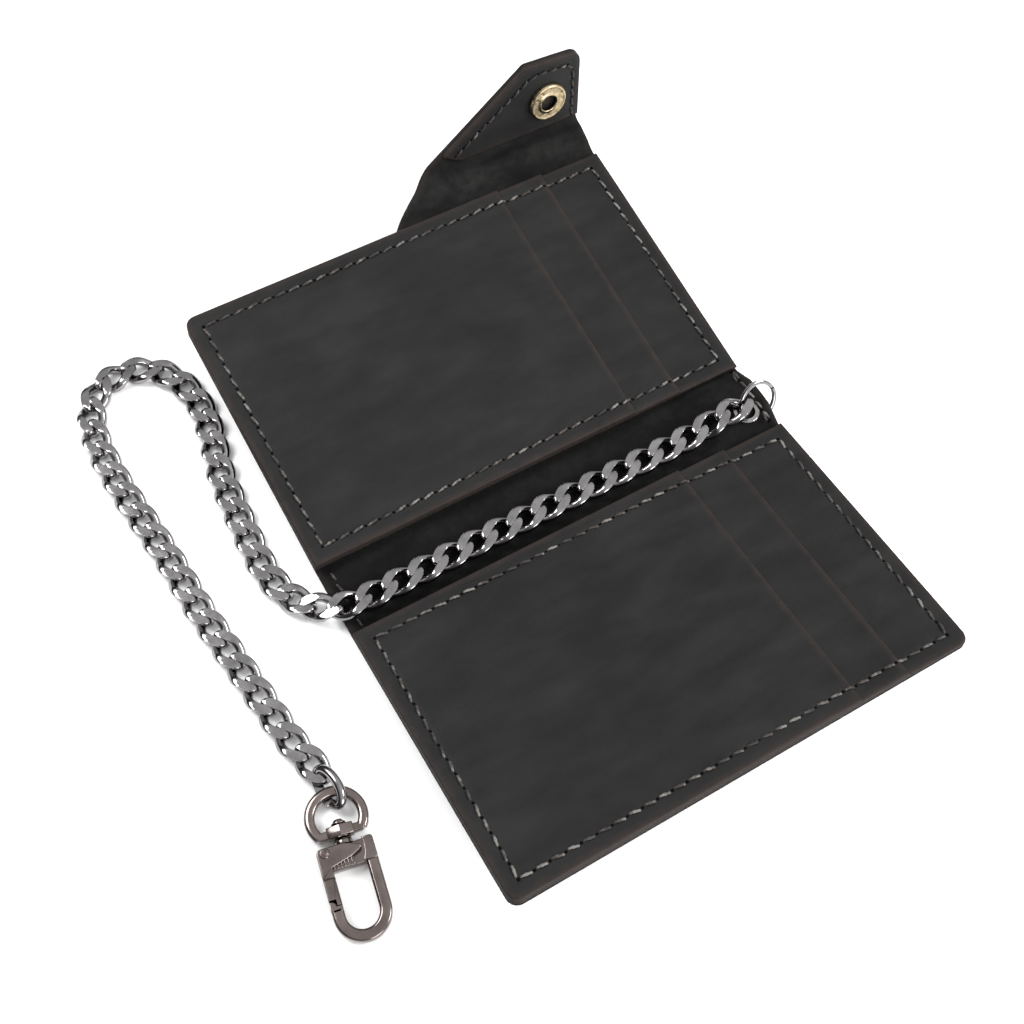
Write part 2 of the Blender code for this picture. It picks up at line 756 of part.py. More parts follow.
def smooth_route(route, spacing):
    """Points about one spacing apart on the smooth curve (Catmull-Rom) through the route's points."""
    spots = [Vector(p) for p in route]
    ends = [2 * spots[0] - spots[1], *spots, 2 * spots[-1] - spots[-2]]
    points = [spots[0]]
    for i in range(len(spots) - 1):
        a, b, c, d = ends[i : i + 4]
        pieces = max(1, round((c - b).length / spacing))
        for k in range(1, pieces + 1):
            t = k / pieces
            points.append(
                0.5 * (2 * b + (c - a) * t + (2 * a - 5 * b + 4 * c - d) * t * t + (3 * b - a - 3 * c + d) * t**3)
            )
    return points


def make_chain():
    """The curb chain's outer shape: a flat tube as wide and as thick as its links."""
    section = bpy.data.curves.new("chain_section", "CURVE")
    section.dimensions = "2D"
    around = [-math.tau * k / 10 for k in range(10)]
    poly_spline(
        section, [(CHAIN_WIDTH / 2 * math.cos(t), CHAIN_THICKNESS / 2 * math.sin(t)) for t in around], True
    )
    guide = bpy.data.objects.new("chain_section", section)
    CUTTERS.objects.link(guide)
    guide.hide_render = True
    guide.display_type = "WIRE"
    curve = bpy.data.curves.new("chain", "CURVE")
    curve.dimensions = "3D"
    curve.twist_mode = "Z_UP"
    curve.bevel_mode = "OBJECT"
    curve.bevel_object = guide
    curve.use_fill_caps = True
    poly_spline(curve, smooth_route(CHAIN_ROUTE, 0.0052), False)
    add_object("chain", curve, "black_nickel", None)


# ---------------------------------------------------------------- swivel clip


def clip_frame():
    """X along the clip from its eye to its hook, Y across, Z up."""
    return Matrix.Translation(CLIP_EYE) @ Matrix.Rotation(CLIP_TURN, 4, "Z")


def along_clip():
    """Turns a shape made about Z so that its axis runs along the clip."""
    return Matrix.Rotation(math.pi / 2, 4, "Y")


def make_clip_eye(parent):
    """A round eye closed by a straight bar, with a boss on the bar that the swivel rivet turns in."""
    bpy.ops.mesh.primitive_torus_add(
        major_radius=EYE_RADIUS, minor_radius=EYE_WIRE, major_segments=40, minor_segments=10
    )
    mesh = bpy.context.object.data
    bpy.data.objects.remove(bpy.context.object)
    eye = add_object("clip_eye", mesh, "gunmetal", parent)
    start, end = EYE_BAR
    reach = 2 * EYE_RADIUS
    boolean(eye, box_mesh("below_bar", (end - 0.0008, -reach, -0.004), (reach, reach, 0.004)))
    half = math.sqrt(EYE_RADIUS**2 - start**2) + 0.0004
    thick = EYE_WIRE - 0.0001
    boolean(eye, box_mesh("bar", (start, -half, -thick), (end, half, thick)), "UNION")
    boss = box_mesh(
        "boss",
        (BOSS_START, -BOSS_HALF_WIDTH, -BOSS_HALF_HEIGHT),
        (end + 0.0002, BOSS_HALF_WIDTH, BOSS_HALF_HEIGHT),
    )
    boolean(eye, boss, "UNION")
    bore = cylinder_mesh("bore", RIVET_SHANK + FIT_GAP, 0.0, 2 * end, 20)
    bore.transform(along_clip())
    boolean(eye, bore)


def gate_sweep_outline():
    """The seat for the gate's head, round about its pin, so that the head turns in it."""
    start, end = BLOCK
    pin_x, pin_y = GATE_PIVOT
    over = 0.002
    side = BLOCK_HALF_WIDTH + over
    reach = GATE_REACH + FIT_GAP
    first, last = math.acos((end + over - pin_x) / reach), math.acos((start - over - pin_x) / reach)
    turn = [first + (last - first) * k / 12 for k in range(13)]
    return [(start - over, -side), (end + over, -side)] + [
        (pin_x + reach * math.cos(t), pin_y + reach * math.sin(t)) for t in turn
    ]


def hook_outline():
    """The hook's bar in plan: the fixed leg, the round bend and the nose that the gate closes on."""
    outer = BLOCK_HALF_WIDTH
    inner = outer - HOOK_BAR
    middle = HOOK_BEND_CENTRE
    turn = [math.pi / 2 - math.pi * k / 16 for k in range(17)]
    step = outer - HOOK_BAR / 2
    nose_outer = GATE_END - GATE_STEP + FIT_GAP
    nose_inner = GATE_END + FIT_GAP
    points = [(BLOCK[1] - 0.001, outer)]
    points += [(middle + outer * math.cos(t), outer * math.sin(t)) for t in turn]
    points += [(nose_outer, -outer), (nose_outer, -step - FIT_GAP / 2), (nose_inner, -step - FIT_GAP / 2)]
    points += [(nose_inner, -inner)]
    points += [(middle + inner * math.cos(t), inner * math.sin(t)) for t in reversed(turn)]
    points += [(BLOCK[1] - 0.001, inner)]
    return points


def make_hook(parent):
    """The block and the hook in one casting, the swivel rivet set in it, and the gate's pin and spring."""
    start, end = BLOCK
    side, deep = BLOCK_HALF_WIDTH, BLOCK_HALF_HEIGHT
    block = filleted([(start, -side, 0.0006), (end, -side, 0.0003), (end, side, 0.0003), (start, side, 0.0006)], 3)
    hook = plate("hook_body", block, -deep, deep, "gunmetal", parent)
    boolean(hook, plate_mesh("bar", hook_outline(), -HOOK_HALF_HEIGHT, HOOK_HALF_HEIGHT), "UNION")
    seat_top = deep + 0.002
    boolean(hook, plate_mesh("gate_seat", gate_sweep_outline(), GATE_PLATE_FLOOR, seat_top))
    pin_x, pin_y = GATE_PIVOT
    bore = cylinder_mesh("rivet_bore", RIVET_SHANK + FIT_GAP, start - 0.001, start + 0.0024, 20)
    bore.transform(along_clip())
    boolean(hook, bore)
    spring_bore = SPRING_RADIUS + SPRING_WIRE + FIT_GAP
    depth = GATE_PLATE_FLOOR - SPRING_TURNS * 2.4 * SPRING_WIRE - FIT_GAP
    boolean(hook, cylinder_mesh("spring_bore", spring_bore, depth, seat_top, 24, (pin_x, pin_y)))
    boolean(hook, cylinder_mesh("pin_bore", GATE_PIN_RADIUS + FIT_GAP, -deep - 0.001, seat_top, 20, (pin_x, pin_y)))
    turned(
        "gate_pin",
        [
            (0.0, deep - 0.0001),
            (GATE_PIN_RADIUS + 0.0003, deep - 0.0001),
            (GATE_PIN_RADIUS + 0.0003, deep - 0.0005),
            (GATE_PIN_RADIUS, deep - 0.0005),
            (GATE_PIN_RADIUS, -deep + 0.0002),
            (0.0, -deep + 0.0002),
        ],
        "gunmetal",
        parent,
        Matrix.Translation((pin_x, pin_y, 0)),
        closed=False,
        steps=20,
    )
    steps = 10 * SPRING_TURNS
    pitch = 2.4 * SPRING_WIRE
    low = depth + SPRING_WIRE + 0.0001
    points = []
    for k in range(steps + 1):
        turn = math.tau * k / 10
        points.append((SPRING_RADIUS * math.cos(turn), SPRING_RADIUS * math.sin(turn), low + pitch * k / 10))
    wire("gate_spring", points, SPRING_WIRE, "black_nickel", parent, place=Matrix.Translation((pin_x, pin_y, 0)))
    head = RIVET_HEAD_HEIGHT
    under = BOSS_START - FIT_GAP
    turned(
        "swivel_rivet",
        [
            (0.0, start + 0.0021),
            (RIVET_SHANK, start + 0.0021),
            (RIVET_SHANK, under),
            (RIVET_HEAD, under),
            (RIVET_HEAD, under - head * 0.55),
            (RIVET_HEAD * 0.62, under - head * 0.92),
            (0.0, under - head),
        ],
        "gunmetal",
        parent,
        along_clip(),
        closed=False,
        steps=20,
    )


def make_gate(parent):
    """The gate in its pin's frame: a slanted head over the block, thumb ridges, and the arm that meets the nose."""
    pin_x, pin_y = GATE_PIVOT
    start, end = BLOCK
    side, deep = BLOCK_HALF_WIDTH, BLOCK_HALF_HEIGHT
    floor = GATE_PLATE_FLOOR + FIT_GAP
    inner = side - HOOK_BAR
    step = side - HOOK_BAR / 2
    head = [
        (start + 0.0001, -side + 0.0006),
        (start + 0.0007, -side),
        (end + 0.0014, -side),
        (end + 0.0014, -inner),
        (end - 0.0001, -inner + 0.0004),
        (end - 0.0001, 0.0012),
        (end - 0.0010, 0.0022),
        (end - 0.0022, 0.0031),
        (start + 0.0015, 0.0034),
        (start + 0.0012, 0.0027),
        (start + 0.0006, 0.0012),
        (start + 0.0001, -0.0003),
    ]
    gate = plate("gate", [Vector(p) - Vector(GATE_PIVOT) for p in head], floor, deep, "gunmetal", parent)
    arm = [
        (end + 0.0008, -side),
        (GATE_END - GATE_STEP, -side),
        (GATE_END - GATE_STEP, -step + FIT_GAP / 2),
        (GATE_END, -step + FIT_GAP / 2),
        (GATE_END, -inner),
        (end + 0.0008, -inner),
    ]
    arm_outline = [Vector(p) - Vector(GATE_PIVOT) for p in arm]
    boolean(gate, plate_mesh("arm", arm_outline, -HOOK_HALF_HEIGHT, HOOK_HALF_HEIGHT), "UNION")
    head_room = GATE_PIN_RADIUS + 0.0003 + FIT_GAP
    boolean(gate, cylinder_mesh("pin_hole", GATE_PIN_RADIUS + FIT_GAP, floor - 0.001, deep + 0.001, 20))
    boolean(gate, cylinder_mesh("pin_seat", head_room, deep - 0.0005 - FIT_GAP, deep + 0.001, 20))
    width, pitch = 0.00035, 0.00085
    for k in range(RIDGE_COUNT):
        y = -inner + 0.0010 + k * pitch - pin_y
        low = (end - 0.0010 - pin_x, y, deep - 0.00035)
        high = (end + 0.0010 - pin_x, y + width, deep + 0.001)
        boolean(gate, box_mesh(f"groove_{k + 1}", low, high))


# ---------------------------------------------------------------- assembly


def main():
    make_spine()
    make_eyelet()
    make_spine_thread("spine_thread_left", -HALF_LENGTH + SPINE_SEAM_INSET)
    make_spine_thread("spine_thread_right", HALF_LENGTH - SPINE_SEAM_INSET)
    make_jump_ring()

    lower = hinge("lower_fold_axis", None, (0, -FOLD_HALF_SPAN, FOLD_HEIGHT), -LOWER_REST)
    upper = hinge("upper_fold_axis", None, (0, FOLD_HALF_SPAN, FOLD_HEIGHT), UPPER_REST)
    lower_panel = make_panel("lower", -1, lower, CORNER_RADIUS)
    make_panel("upper", 1, upper, 0)

    length = strap_length()
    bend = hinge("tab_fold_axis", upper, (0, PANEL_WIDTH + TAB_EDGE_GAP, TAB_BEND_HEIGHT - FOLD_HEIGHT), STRAP_REST)
    crease = hinge("tab_tip_fold_axis", bend, (0, length, 0), TIP_REST)
    make_strap(bend, length)
    make_tip(crease)
    make_male_snap(lower, lower_panel["cover"], length)

    make_chain()
    clip = hinge("clip_axis", None, (0, 0, 0))
    clip.matrix_basis = clip_frame()
    make_clip_eye(clip)
    make_hook(clip)
    make_gate(hinge("gate_axis", clip, (*GATE_PIVOT, 0.0)))

    for obj in PARTS.objects:
        if obj.type == "MESH":
            obj.data.shade_smooth()
            obj.data.set_sharp_from_angle(angle=math.radians(35.0))


main()
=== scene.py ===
import json
import math

import bmesh
import bpy
import numpy as np
from mathutils import Matrix, Vector


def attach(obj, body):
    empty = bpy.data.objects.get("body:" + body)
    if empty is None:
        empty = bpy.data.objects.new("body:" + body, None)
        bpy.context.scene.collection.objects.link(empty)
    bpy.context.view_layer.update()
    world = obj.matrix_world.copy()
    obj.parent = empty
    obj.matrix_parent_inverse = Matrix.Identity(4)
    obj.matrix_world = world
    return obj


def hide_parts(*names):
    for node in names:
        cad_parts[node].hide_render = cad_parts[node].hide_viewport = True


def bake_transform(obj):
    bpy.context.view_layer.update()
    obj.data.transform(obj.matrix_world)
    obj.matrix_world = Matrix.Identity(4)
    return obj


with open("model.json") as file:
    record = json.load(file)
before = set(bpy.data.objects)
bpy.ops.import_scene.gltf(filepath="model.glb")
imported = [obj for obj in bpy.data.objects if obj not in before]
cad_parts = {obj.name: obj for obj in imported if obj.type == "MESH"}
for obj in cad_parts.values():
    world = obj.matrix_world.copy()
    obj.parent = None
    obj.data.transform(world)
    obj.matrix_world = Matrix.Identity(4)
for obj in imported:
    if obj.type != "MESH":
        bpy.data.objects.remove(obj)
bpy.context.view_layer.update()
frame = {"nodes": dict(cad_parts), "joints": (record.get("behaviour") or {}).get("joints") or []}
joints = {joint["name"]: joint for joint in frame["joints"]}
print("frame loaded")

mm = 0.001


view = {
    "place": (-0.0958, -0.1208, 0.2759),
    "right": (0.86378, -0.50206, 0.04260),
    "up": (0.42495, 0.77131, 0.47381),
    "back": (-0.27074, -0.39117, 0.87960),
    "lens": 47.56,
    "sensor": 36.0,
}
camera = bpy.data.objects.new("camera", bpy.data.cameras.new("camera"))
bpy.context.scene.collection.objects.link(camera)
camera.data.lens = view["lens"]
camera.data.sensor_width = view["sensor"]
camera.data.clip_start = 0.005
turn = Matrix((view["right"], view["up"], view["back"])).transposed()
camera.matrix_world = Matrix.Translation(view["place"]) @ turn.to_4x4()
bpy.context.scene.camera = camera


def put(tree, kind, values=None, links=None, **settings):
    # one node, its settings, its socket values, and what feeds it
    node = tree.nodes.new(kind)
    for key, value in settings.items():
        setattr(node, key, value)
    for key, value in (values or {}).items():
        node.inputs[key].default_value = value
    for key, source in (links or {}).items():
        tree.links.new(source, node.inputs[key])
    return node


light = {
    "low": 0.20, "high": 1.10, "lean": 0.75, "fall": -0.45,
    "key": {"place": (-0.35, 0.45, 0.75), "size": 0.5, "power": 7.5},
    "side": {"place": (0.70, -0.45, 0.60), "size": 0.45, "power": 7.5},
    "front": {"place": (0.05, -0.95, 0.32), "size": 0.6, "power": 6.0},
    "floor": (0.95, 0.95, 0.95),
}


def studioWorld():
    # a white tent, brighter overhead and towards one side, darker near the horizon
    world = bpy.data.worlds.new("studio")
    bpy.context.scene.world = world
    world.use_nodes = True
    tree = world.node_tree
    way = put(tree, "ShaderNodeSeparateXYZ", links={0: put(tree, "ShaderNodeTexCoord").outputs["Generated"]})
    rise = put(
        tree, "ShaderNodeMapRange", {1: 0.2, 2: 1.0, 3: light["low"], 4: light["high"]}, {0: way.outputs[2]},
        interpolation_type="SMOOTHSTEP",
    )
    lean = put(
        tree, "ShaderNodeMath", {1: light["lean"]}, {0: way.outputs[0], 2: rise.outputs[0]},
        operation="MULTIPLY_ADD",
    )
    front = put(
        tree, "ShaderNodeMath", {1: light["fall"]}, {0: way.outputs[1], 2: lean.outputs[0]},
        operation="MULTIPLY_ADD",
    )
    level = put(tree, "ShaderNodeMath", {1: 0.08}, {0: front.outputs[0]}, operation="MAXIMUM")
    tree.links.new(level.outputs[0], tree.nodes["Background"].inputs["Strength"])
    tree.nodes["Background"].inputs["Color"].default_value = (1.0, 1.0, 1.0, 1.0)


studioWorld()
bpy.context.scene.view_settings.view_transform = "Standard"
for name in ("key", "side", "front"):
    lamp = bpy.data.lights.new(name, "AREA")
    lamp.shape = "DISK"
    lamp.size = light[name]["size"]
    lamp.energy = light[name]["power"]
    holder = bpy.data.objects.new(name, lamp)
    bpy.context.scene.collection.objects.link(holder)
    holder.location = light[name]["place"]
    holder.rotation_euler = (-Vector(light[name]["place"])).to_track_quat("-Z", "Y").to_euler()


def newMaterial(name, **values):
    material = bpy.data.materials.new(name)
    material.use_nodes = True
    shader = material.node_tree.nodes["Principled BSDF"]
    for socket, value in values.items():
        shader.inputs[socket.replace("_", " ")].default_value = value
    return material, material.node_tree, shader


def ramp(tree, source, stops):
    # colour stops as (position, (r, g, b)) or (position, value)
    node = put(tree, "ShaderNodeValToRGB", links={0: source})
    band = node.color_ramp
    while len(band.elements) < len(stops):
        band.elements.new(0.5)
    for element, (position, colour) in zip(band.elements, stops):
        element.position = position
        element.color = (colour, colour, colour, 1) if isinstance(colour, float) else (*colour, 1)
    return node.outputs[0]


def makeGroup(name, inputs, outputs):
    group = bpy.data.node_groups.new(name, "ShaderNodeTree")
    for label, kind, value in inputs:
        socket = group.interface.new_socket(name=label, in_out="INPUT", socket_type=kind)
        if value is not None:
            socket.default_value = value
    for label, kind in outputs:
        group.interface.new_socket(name=label, in_out="OUTPUT", socket_type=kind)
    return group, group.nodes.new("NodeGroupInput"), group.nodes.new("NodeGroupOutput")


def hideGroup():
    # grain: fine pores and creases as a height, and slow mottling as a colour factor
    group, source, sink = makeGroup(
        "hideSurface",
        [
            ("Vector", "NodeSocketVector", None),
            ("Dark", "NodeSocketColor", (0.01, 0.01, 0.01, 1)),
            ("Light", "NodeSocketColor", (0.02, 0.02, 0.02, 1)),
            ("Pore Scale", "NodeSocketFloat", 1500.0),
            ("Mottle Scale", "NodeSocketFloat", 45.0),
        ],
        [("Colour", "NodeSocketColor"), ("Height", "NodeSocketFloat"), ("Rough", "NodeSocketFloat")],
    )
    place = source.outputs["Vector"]
    cloud = put(
        group, "ShaderNodeTexNoise", {"Detail": 4.0, "Roughness": 0.62},
        {"Vector": place, "Scale": source.outputs["Mottle Scale"]},
    )
    streak = put(group, "ShaderNodeMapping", {"Scale": (0.35, 1.0, 1.0)}, {"Vector": place})
    rub = put(group, "ShaderNodeTexNoise", {"Scale": 190.0, "Detail": 3.0}, {"Vector": streak.outputs[0]})
    blend = put(
        group, "ShaderNodeMath", {2: 0.0}, {0: cloud.outputs[0], 1: rub.outputs[0]}, operation="MULTIPLY_ADD",
    )
    tone = ramp(group, blend.outputs[0], [(0.14, 0.0), (0.42, 1.0)])
    colour = put(
        group, "ShaderNodeMix", links={0: tone, 6: source.outputs["Dark"], 7: source.outputs["Light"]},
        data_type="RGBA",
    )
    pores = put(
        group, "ShaderNodeTexVoronoi", {"Randomness": 1.0},
        {"Vector": place, "Scale": source.outputs["Pore Scale"]}, feature="F1",
    )
    creases = put(
        group, "ShaderNodeTexNoise", {"Scale": 620.0, "Detail": 5.0, "Roughness": 0.7}, {"Vector": place},
    )
    height = put(
        group, "ShaderNodeMath", {1: 0.6}, {0: pores.outputs[0], 2: creases.outputs[0]},
        operation="MULTIPLY_ADD",
    )
    rough = ramp(group, cloud.outputs[0], [(0.3, 0.0), (0.7, 1.0)])
    group.links.new(colour.outputs[2], sink.inputs["Colour"])
    group.links.new(height.outputs[0], sink.inputs["Height"])
    group.links.new(rough, sink.inputs["Rough"])
    return group


hideSurface = hideGroup()


def leatherMaterial(name, tone):
    # waxed hide: mottled colour, burnished darker where the "edge" attribute rises, fine pores in the bump
    material, tree, shader = newMaterial(
        name,
        Specular_IOR_Level=tone["specular"],
        Sheen_Weight=tone["sheen"],
        Sheen_Roughness=0.5,
        Sheen_Tint=(0.75, 0.7, 0.68, 1),
    )
    place = put(tree, "ShaderNodeTexCoord").outputs["Object"]
    hide = put(
        tree,
        "ShaderNodeGroup",
        {
            "Dark": (*tone["dark"], 1), "Light": (*tone["light"], 1), "Pore Scale": tone["pores"],
            "Mottle Scale": tone["mottle"],
        },
        {"Vector": place},
        node_tree=hideSurface,
    )
    edge = put(tree, "ShaderNodeAttribute", attribute_name="edge")
    worn = put(tree, "ShaderNodeTexNoise", {"Scale": 330.0, "Detail": 4.0}, {"Vector": place})
    mask = put(
        tree, "ShaderNodeMath", links={0: edge.outputs["Fac"], 1: worn.outputs[0]}, operation="MULTIPLY",
    )
    strength = ramp(tree, mask.outputs[0], [(0.10, 0.0), (0.52, 1.0)])
    colour = put(
        tree, "ShaderNodeMix", {7: (*tone["rim"], 1)}, {0: strength, 6: hide.outputs["Colour"]},
        data_type="RGBA"
    )
    rough = put(
        tree, "ShaderNodeMapRange", {3: tone["rough"][0], 4: tone["rough"][1]}, {0: hide.outputs["Rough"]},
    )
    bump = put(
        tree, "ShaderNodeBump", {"Strength": tone["bump"], "Distance": 0.00012},
        {"Height": hide.outputs["Height"]}
    )
    tree.links.new(colour.outputs[2], shader.inputs["Base Color"])
    tree.links.new(rough.outputs[0], shader.inputs["Roughness"])
    tree.links.new(bump.outputs[0], shader.inputs["Normal"])
    return material


hideTones = {
    "waxed": {
        "dark": (0.0078, 0.0078, 0.0080), "light": (0.0150, 0.0147, 0.0146), "rim": (0.022, 0.0165, 0.0145),
        "specular": 0.13, "sheen": 0.02, "pores": 1500.0, "mottle": 45.0, "rough": (0.50, 0.64), "bump": 0.45,
    },
    "flesh": {
        "dark": (0.0045, 0.0045, 0.0045), "light": (0.0165, 0.0162, 0.0158), "rim": (0.018, 0.015, 0.014),
        "specular": 0.10, "sheen": 0.03, "pores": 900.0, "mottle": 420.0, "rough": (0.78, 0.92), "bump": 1.0,
    },
}
# deep: a darker copy of the flesh side, painted shade for the suede inside the spine, which lies in shadow
# between the panels
hideTones["deep"] = {
    **hideTones["flesh"], "dark": (0.0022, 0.0022, 0.0022), "light": (0.0085, 0.0083, 0.0081)
}
waxedLeather = leatherMaterial("waxedLeather", hideTones["waxed"])
shadedSpineSuede = leatherMaterial("shadedSpineSuede", hideTones["deep"])
fleshSide = leatherMaterial("fleshSide", hideTones["flesh"])


def metalMaterial(name, look):
    # plated metal: a little cloudiness in its colour and gloss, and darker tarnish in patches
    material, tree, shader = newMaterial(name, Metallic=1.0)
    place = put(tree, "ShaderNodeTexCoord").outputs["Object"]
    cloud = put(
        tree, "ShaderNodeTexNoise", {"Scale": look["scale"], "Detail": 4.0, "Roughness": 0.6},
        {"Vector": place},
    )
    tone = ramp(tree, cloud.outputs[0], [(0.30, look["dark"]), (0.68, look["light"])])
    rough = put(tree, "ShaderNodeMapRange", {3: look["rough"][0], 4: look["rough"][1]}, {0: cloud.outputs[0]})
    fine = put(tree, "ShaderNodeTexNoise", {"Scale": 2600.0, "Detail": 2.0}, {"Vector": place})
    bump = put(
        tree, "ShaderNodeBump", {"Strength": look["bump"], "Distance": 0.00002}, {"Height": fine.outputs[0]},
    )
    tree.links.new(tone, shader.inputs["Base Color"])
    tree.links.new(rough.outputs[0], shader.inputs["Roughness"])
    tree.links.new(bump.outputs[0], shader.inputs["Normal"])
    return material


metalLooks = {
    "chain": {
        "dark": (0.19, 0.185, 0.19), "light": (0.30, 0.29, 0.295), "rough": (0.08, 0.17), "scale": 260.0,
        "bump": 0.25,
    },
    "clip": {
        "dark": (0.125, 0.103, 0.097), "light": (0.190, 0.160, 0.150), "rough": (0.10, 0.20), "scale": 180.0,
        "bump": 0.2,
    },
    "snap": {
        "dark": (0.20, 0.14, 0.07), "light": (0.62, 0.52, 0.34), "rough": (0.20, 0.38), "scale": 620.0,
        "bump": 0.6,
    },
    # dark: near-black metal, painted shade for parts deep in the snap's hole and inside the clip
    "dark": {
        "dark": (0.03, 0.026, 0.022), "light": (0.07, 0.055, 0.045), "rough": (0.35, 0.5), "scale": 500.0,
        "bump": 0.6,
    },
}
chainMetal = metalMaterial("chainMetal", metalLooks["chain"])
clipMetal = metalMaterial("clipMetal", metalLooks["clip"])
snapMetal = metalMaterial("snapMetal", metalLooks["snap"])
shadedMetal = metalMaterial("shadedMetal", metalLooks["dark"])


def threadMaterial():
    # waxed thread: dark grey-brown fibre with pale flecks
    material, tree, shader = newMaterial(
        "waxedThread", Specular_IOR_Level=0.3, Sheen_Weight=0.1, Roughness=0.6,
    )
    place = put(tree, "ShaderNodeTexCoord").outputs["Object"]
    fleck = put(tree, "ShaderNodeTexNoise", {"Scale": 900.0, "Detail": 3.0}, {"Vector": place})
    patch = put(tree, "ShaderNodeTexNoise", {"Scale": 150.0, "Detail": 2.0}, {"Vector": place})
    mixed = put(
        tree, "ShaderNodeMath", {1: 0.6}, {0: fleck.outputs[0], 2: patch.outputs[0]},
        operation="MULTIPLY_ADD",
    )
    tone = ramp(
        tree, mixed.outputs[0],
        [(0.62, (0.010, 0.0075, 0.0065)), (0.80, (0.038, 0.031, 0.028)), (0.95, (0.15, 0.14, 0.13))],
    )
    bump = put(tree, "ShaderNodeBump", {"Strength": 0.5, "Distance": 0.00005}, {"Height": fleck.outputs[0]})
    tree.links.new(tone, shader.inputs["Base Color"])
    tree.links.new(bump.outputs[0], shader.inputs["Normal"])
    return material


def holeShadeMaterial():
    # painted shade: the near-black bottom of an awl hole, standing for the shadow inside it
    material, tree, shader = newMaterial("awlHoleShade", Specular_IOR_Level=0.05)
    place = put(tree, "ShaderNodeTexCoord").outputs["Object"]
    speck = put(tree, "ShaderNodeTexNoise", {"Scale": 2000.0}, {"Vector": place})
    tone = ramp(tree, speck.outputs[0], [(0.3, (0.0010, 0.0010, 0.0010)), (0.7, (0.0035, 0.003, 0.003))])
    rough = put(tree, "ShaderNodeMapRange", {3: 0.85, 4: 1.0}, {0: speck.outputs[0]})
    tree.links.new(tone, shader.inputs["Base Color"])
    tree.links.new(rough.outputs[0], shader.inputs["Roughness"])
    return material


waxedThread = threadMaterial()
awlHoleShade = holeShadeMaterial()

floorMaterial = newMaterial("paleFloor", Base_Color=(*light["floor"], 1), Roughness=0.9)[0]
floorMesh = bpy.data.meshes.new("floor")
floorHalf, floorDrop = 6.0, -0.0001
floorCorners = [(x * floorHalf, y * floorHalf, floorDrop) for x, y in ((-1, -1), (1, -1), (1, 1), (-1, 1))]
floorMesh.from_pydata(floorCorners, [], [(0, 1, 2, 3)])
floorMesh.materials.append(floorMaterial)
floor = bpy.data.objects.new("floor", floorMesh)
bpy.context.scene.collection.objects.link(floor)
print("stage and materials done")


def addPiece(name, vertices, faces, materials, faceMaterial=None, sharp=40.0, attributes=None):
    mesh = bpy.data.meshes.new(name)
    mesh.from_pydata(vertices.tolist(), [], faces if isinstance(faces, list) else faces.tolist())
    for material in materials if isinstance(materials, (list, tuple)) else [materials]:
        mesh.materials.append(material)
    if faceMaterial is not None:
        mesh.polygons.foreach_set("material_index", np.asarray(faceMaterial, np.int32))
    for label, values in (attributes or {}).items():
        mesh.attributes.new(label, "FLOAT", "POINT").data.foreach_set("value", np.asarray(values, np.float32))
    shape = bmesh.new()
    shape.from_mesh(mesh)
    bmesh.ops.remove_doubles(shape, verts=shape.verts, dist=1e-7)
    bmesh.ops.dissolve_degenerate(shape, edges=shape.edges, dist=1e-8)
    bmesh.ops.recalc_face_normals(shape, faces=shape.faces)
    shape.to_mesh(mesh)
    shape.free()
    mesh.shade_smooth()
    mesh.set_sharp_from_angle(angle=math.radians(sharp))
    piece = bpy.data.objects.new(name, mesh)
    bpy.context.scene.collection.objects.link(piece)
    return piece


def joinShells(name, shells, material, place, **more):
    # several closed shells, each (vertices in mm, list of faces), laid by place and joined into one piece
    faces, count = [], 0
    for vertices, shellFaces in shells:
        faces += [[index + count for index in face] for face in shellFaces]
        count += len(vertices)
    return addPiece(
        name, place(np.vstack([vertices for vertices, _ in shells])) * mm, faces, material, **more,
    )


def gridFaces(count, rows, columns, closeRows=False, closeColumns=False):
    # quads of count separate grids, each rows by columns, that may close on themselves either way
    i = np.arange(rows if closeRows else rows - 1)
    j = np.arange(columns if closeColumns else columns - 1)
    i, j = np.meshgrid(i, j, indexing="ij")
    here, following, beside = i * columns, (i + 1) % rows * columns, (j + 1) % columns
    one = np.stack([here + j, following + j, following + beside, here + beside], -1).reshape(-1, 4)
    return (one[None] + (np.arange(count) * rows * columns)[:, None, None]).reshape(-1, 4)


def gridPiece(name, points, material, closeRows=False, closeColumns=True, **more):
    # points: (rows, columns, 3) or (count, rows, columns, 3); columns go clockwise seen along the rows' way
    points = points if points.ndim == 4 else points[None]
    count, rows, columns = points.shape[:3]
    return addPiece(
        name, points.reshape(-1, 3), gridFaces(count, rows, columns, closeRows, closeColumns), material,
        **more,
    )


def carriedProfile(path, across, up, profile):
    # each path point carries the closed profile (a, b): point = path + a * across + b * up
    return path[..., None, :] + profile[..., 0:1] * across[..., None, :] + profile[..., 1:2] * up[
        ..., None, :,
    ]


def unit(vectors):
    return vectors / np.maximum(np.linalg.norm(vectors, axis=-1, keepdims=True), 1e-12)


def roundProfile(radius, count):
    angle = -2 * np.pi * np.arange(count) / count
    return np.stack([radius * np.cos(angle), radius * np.sin(angle)], -1)


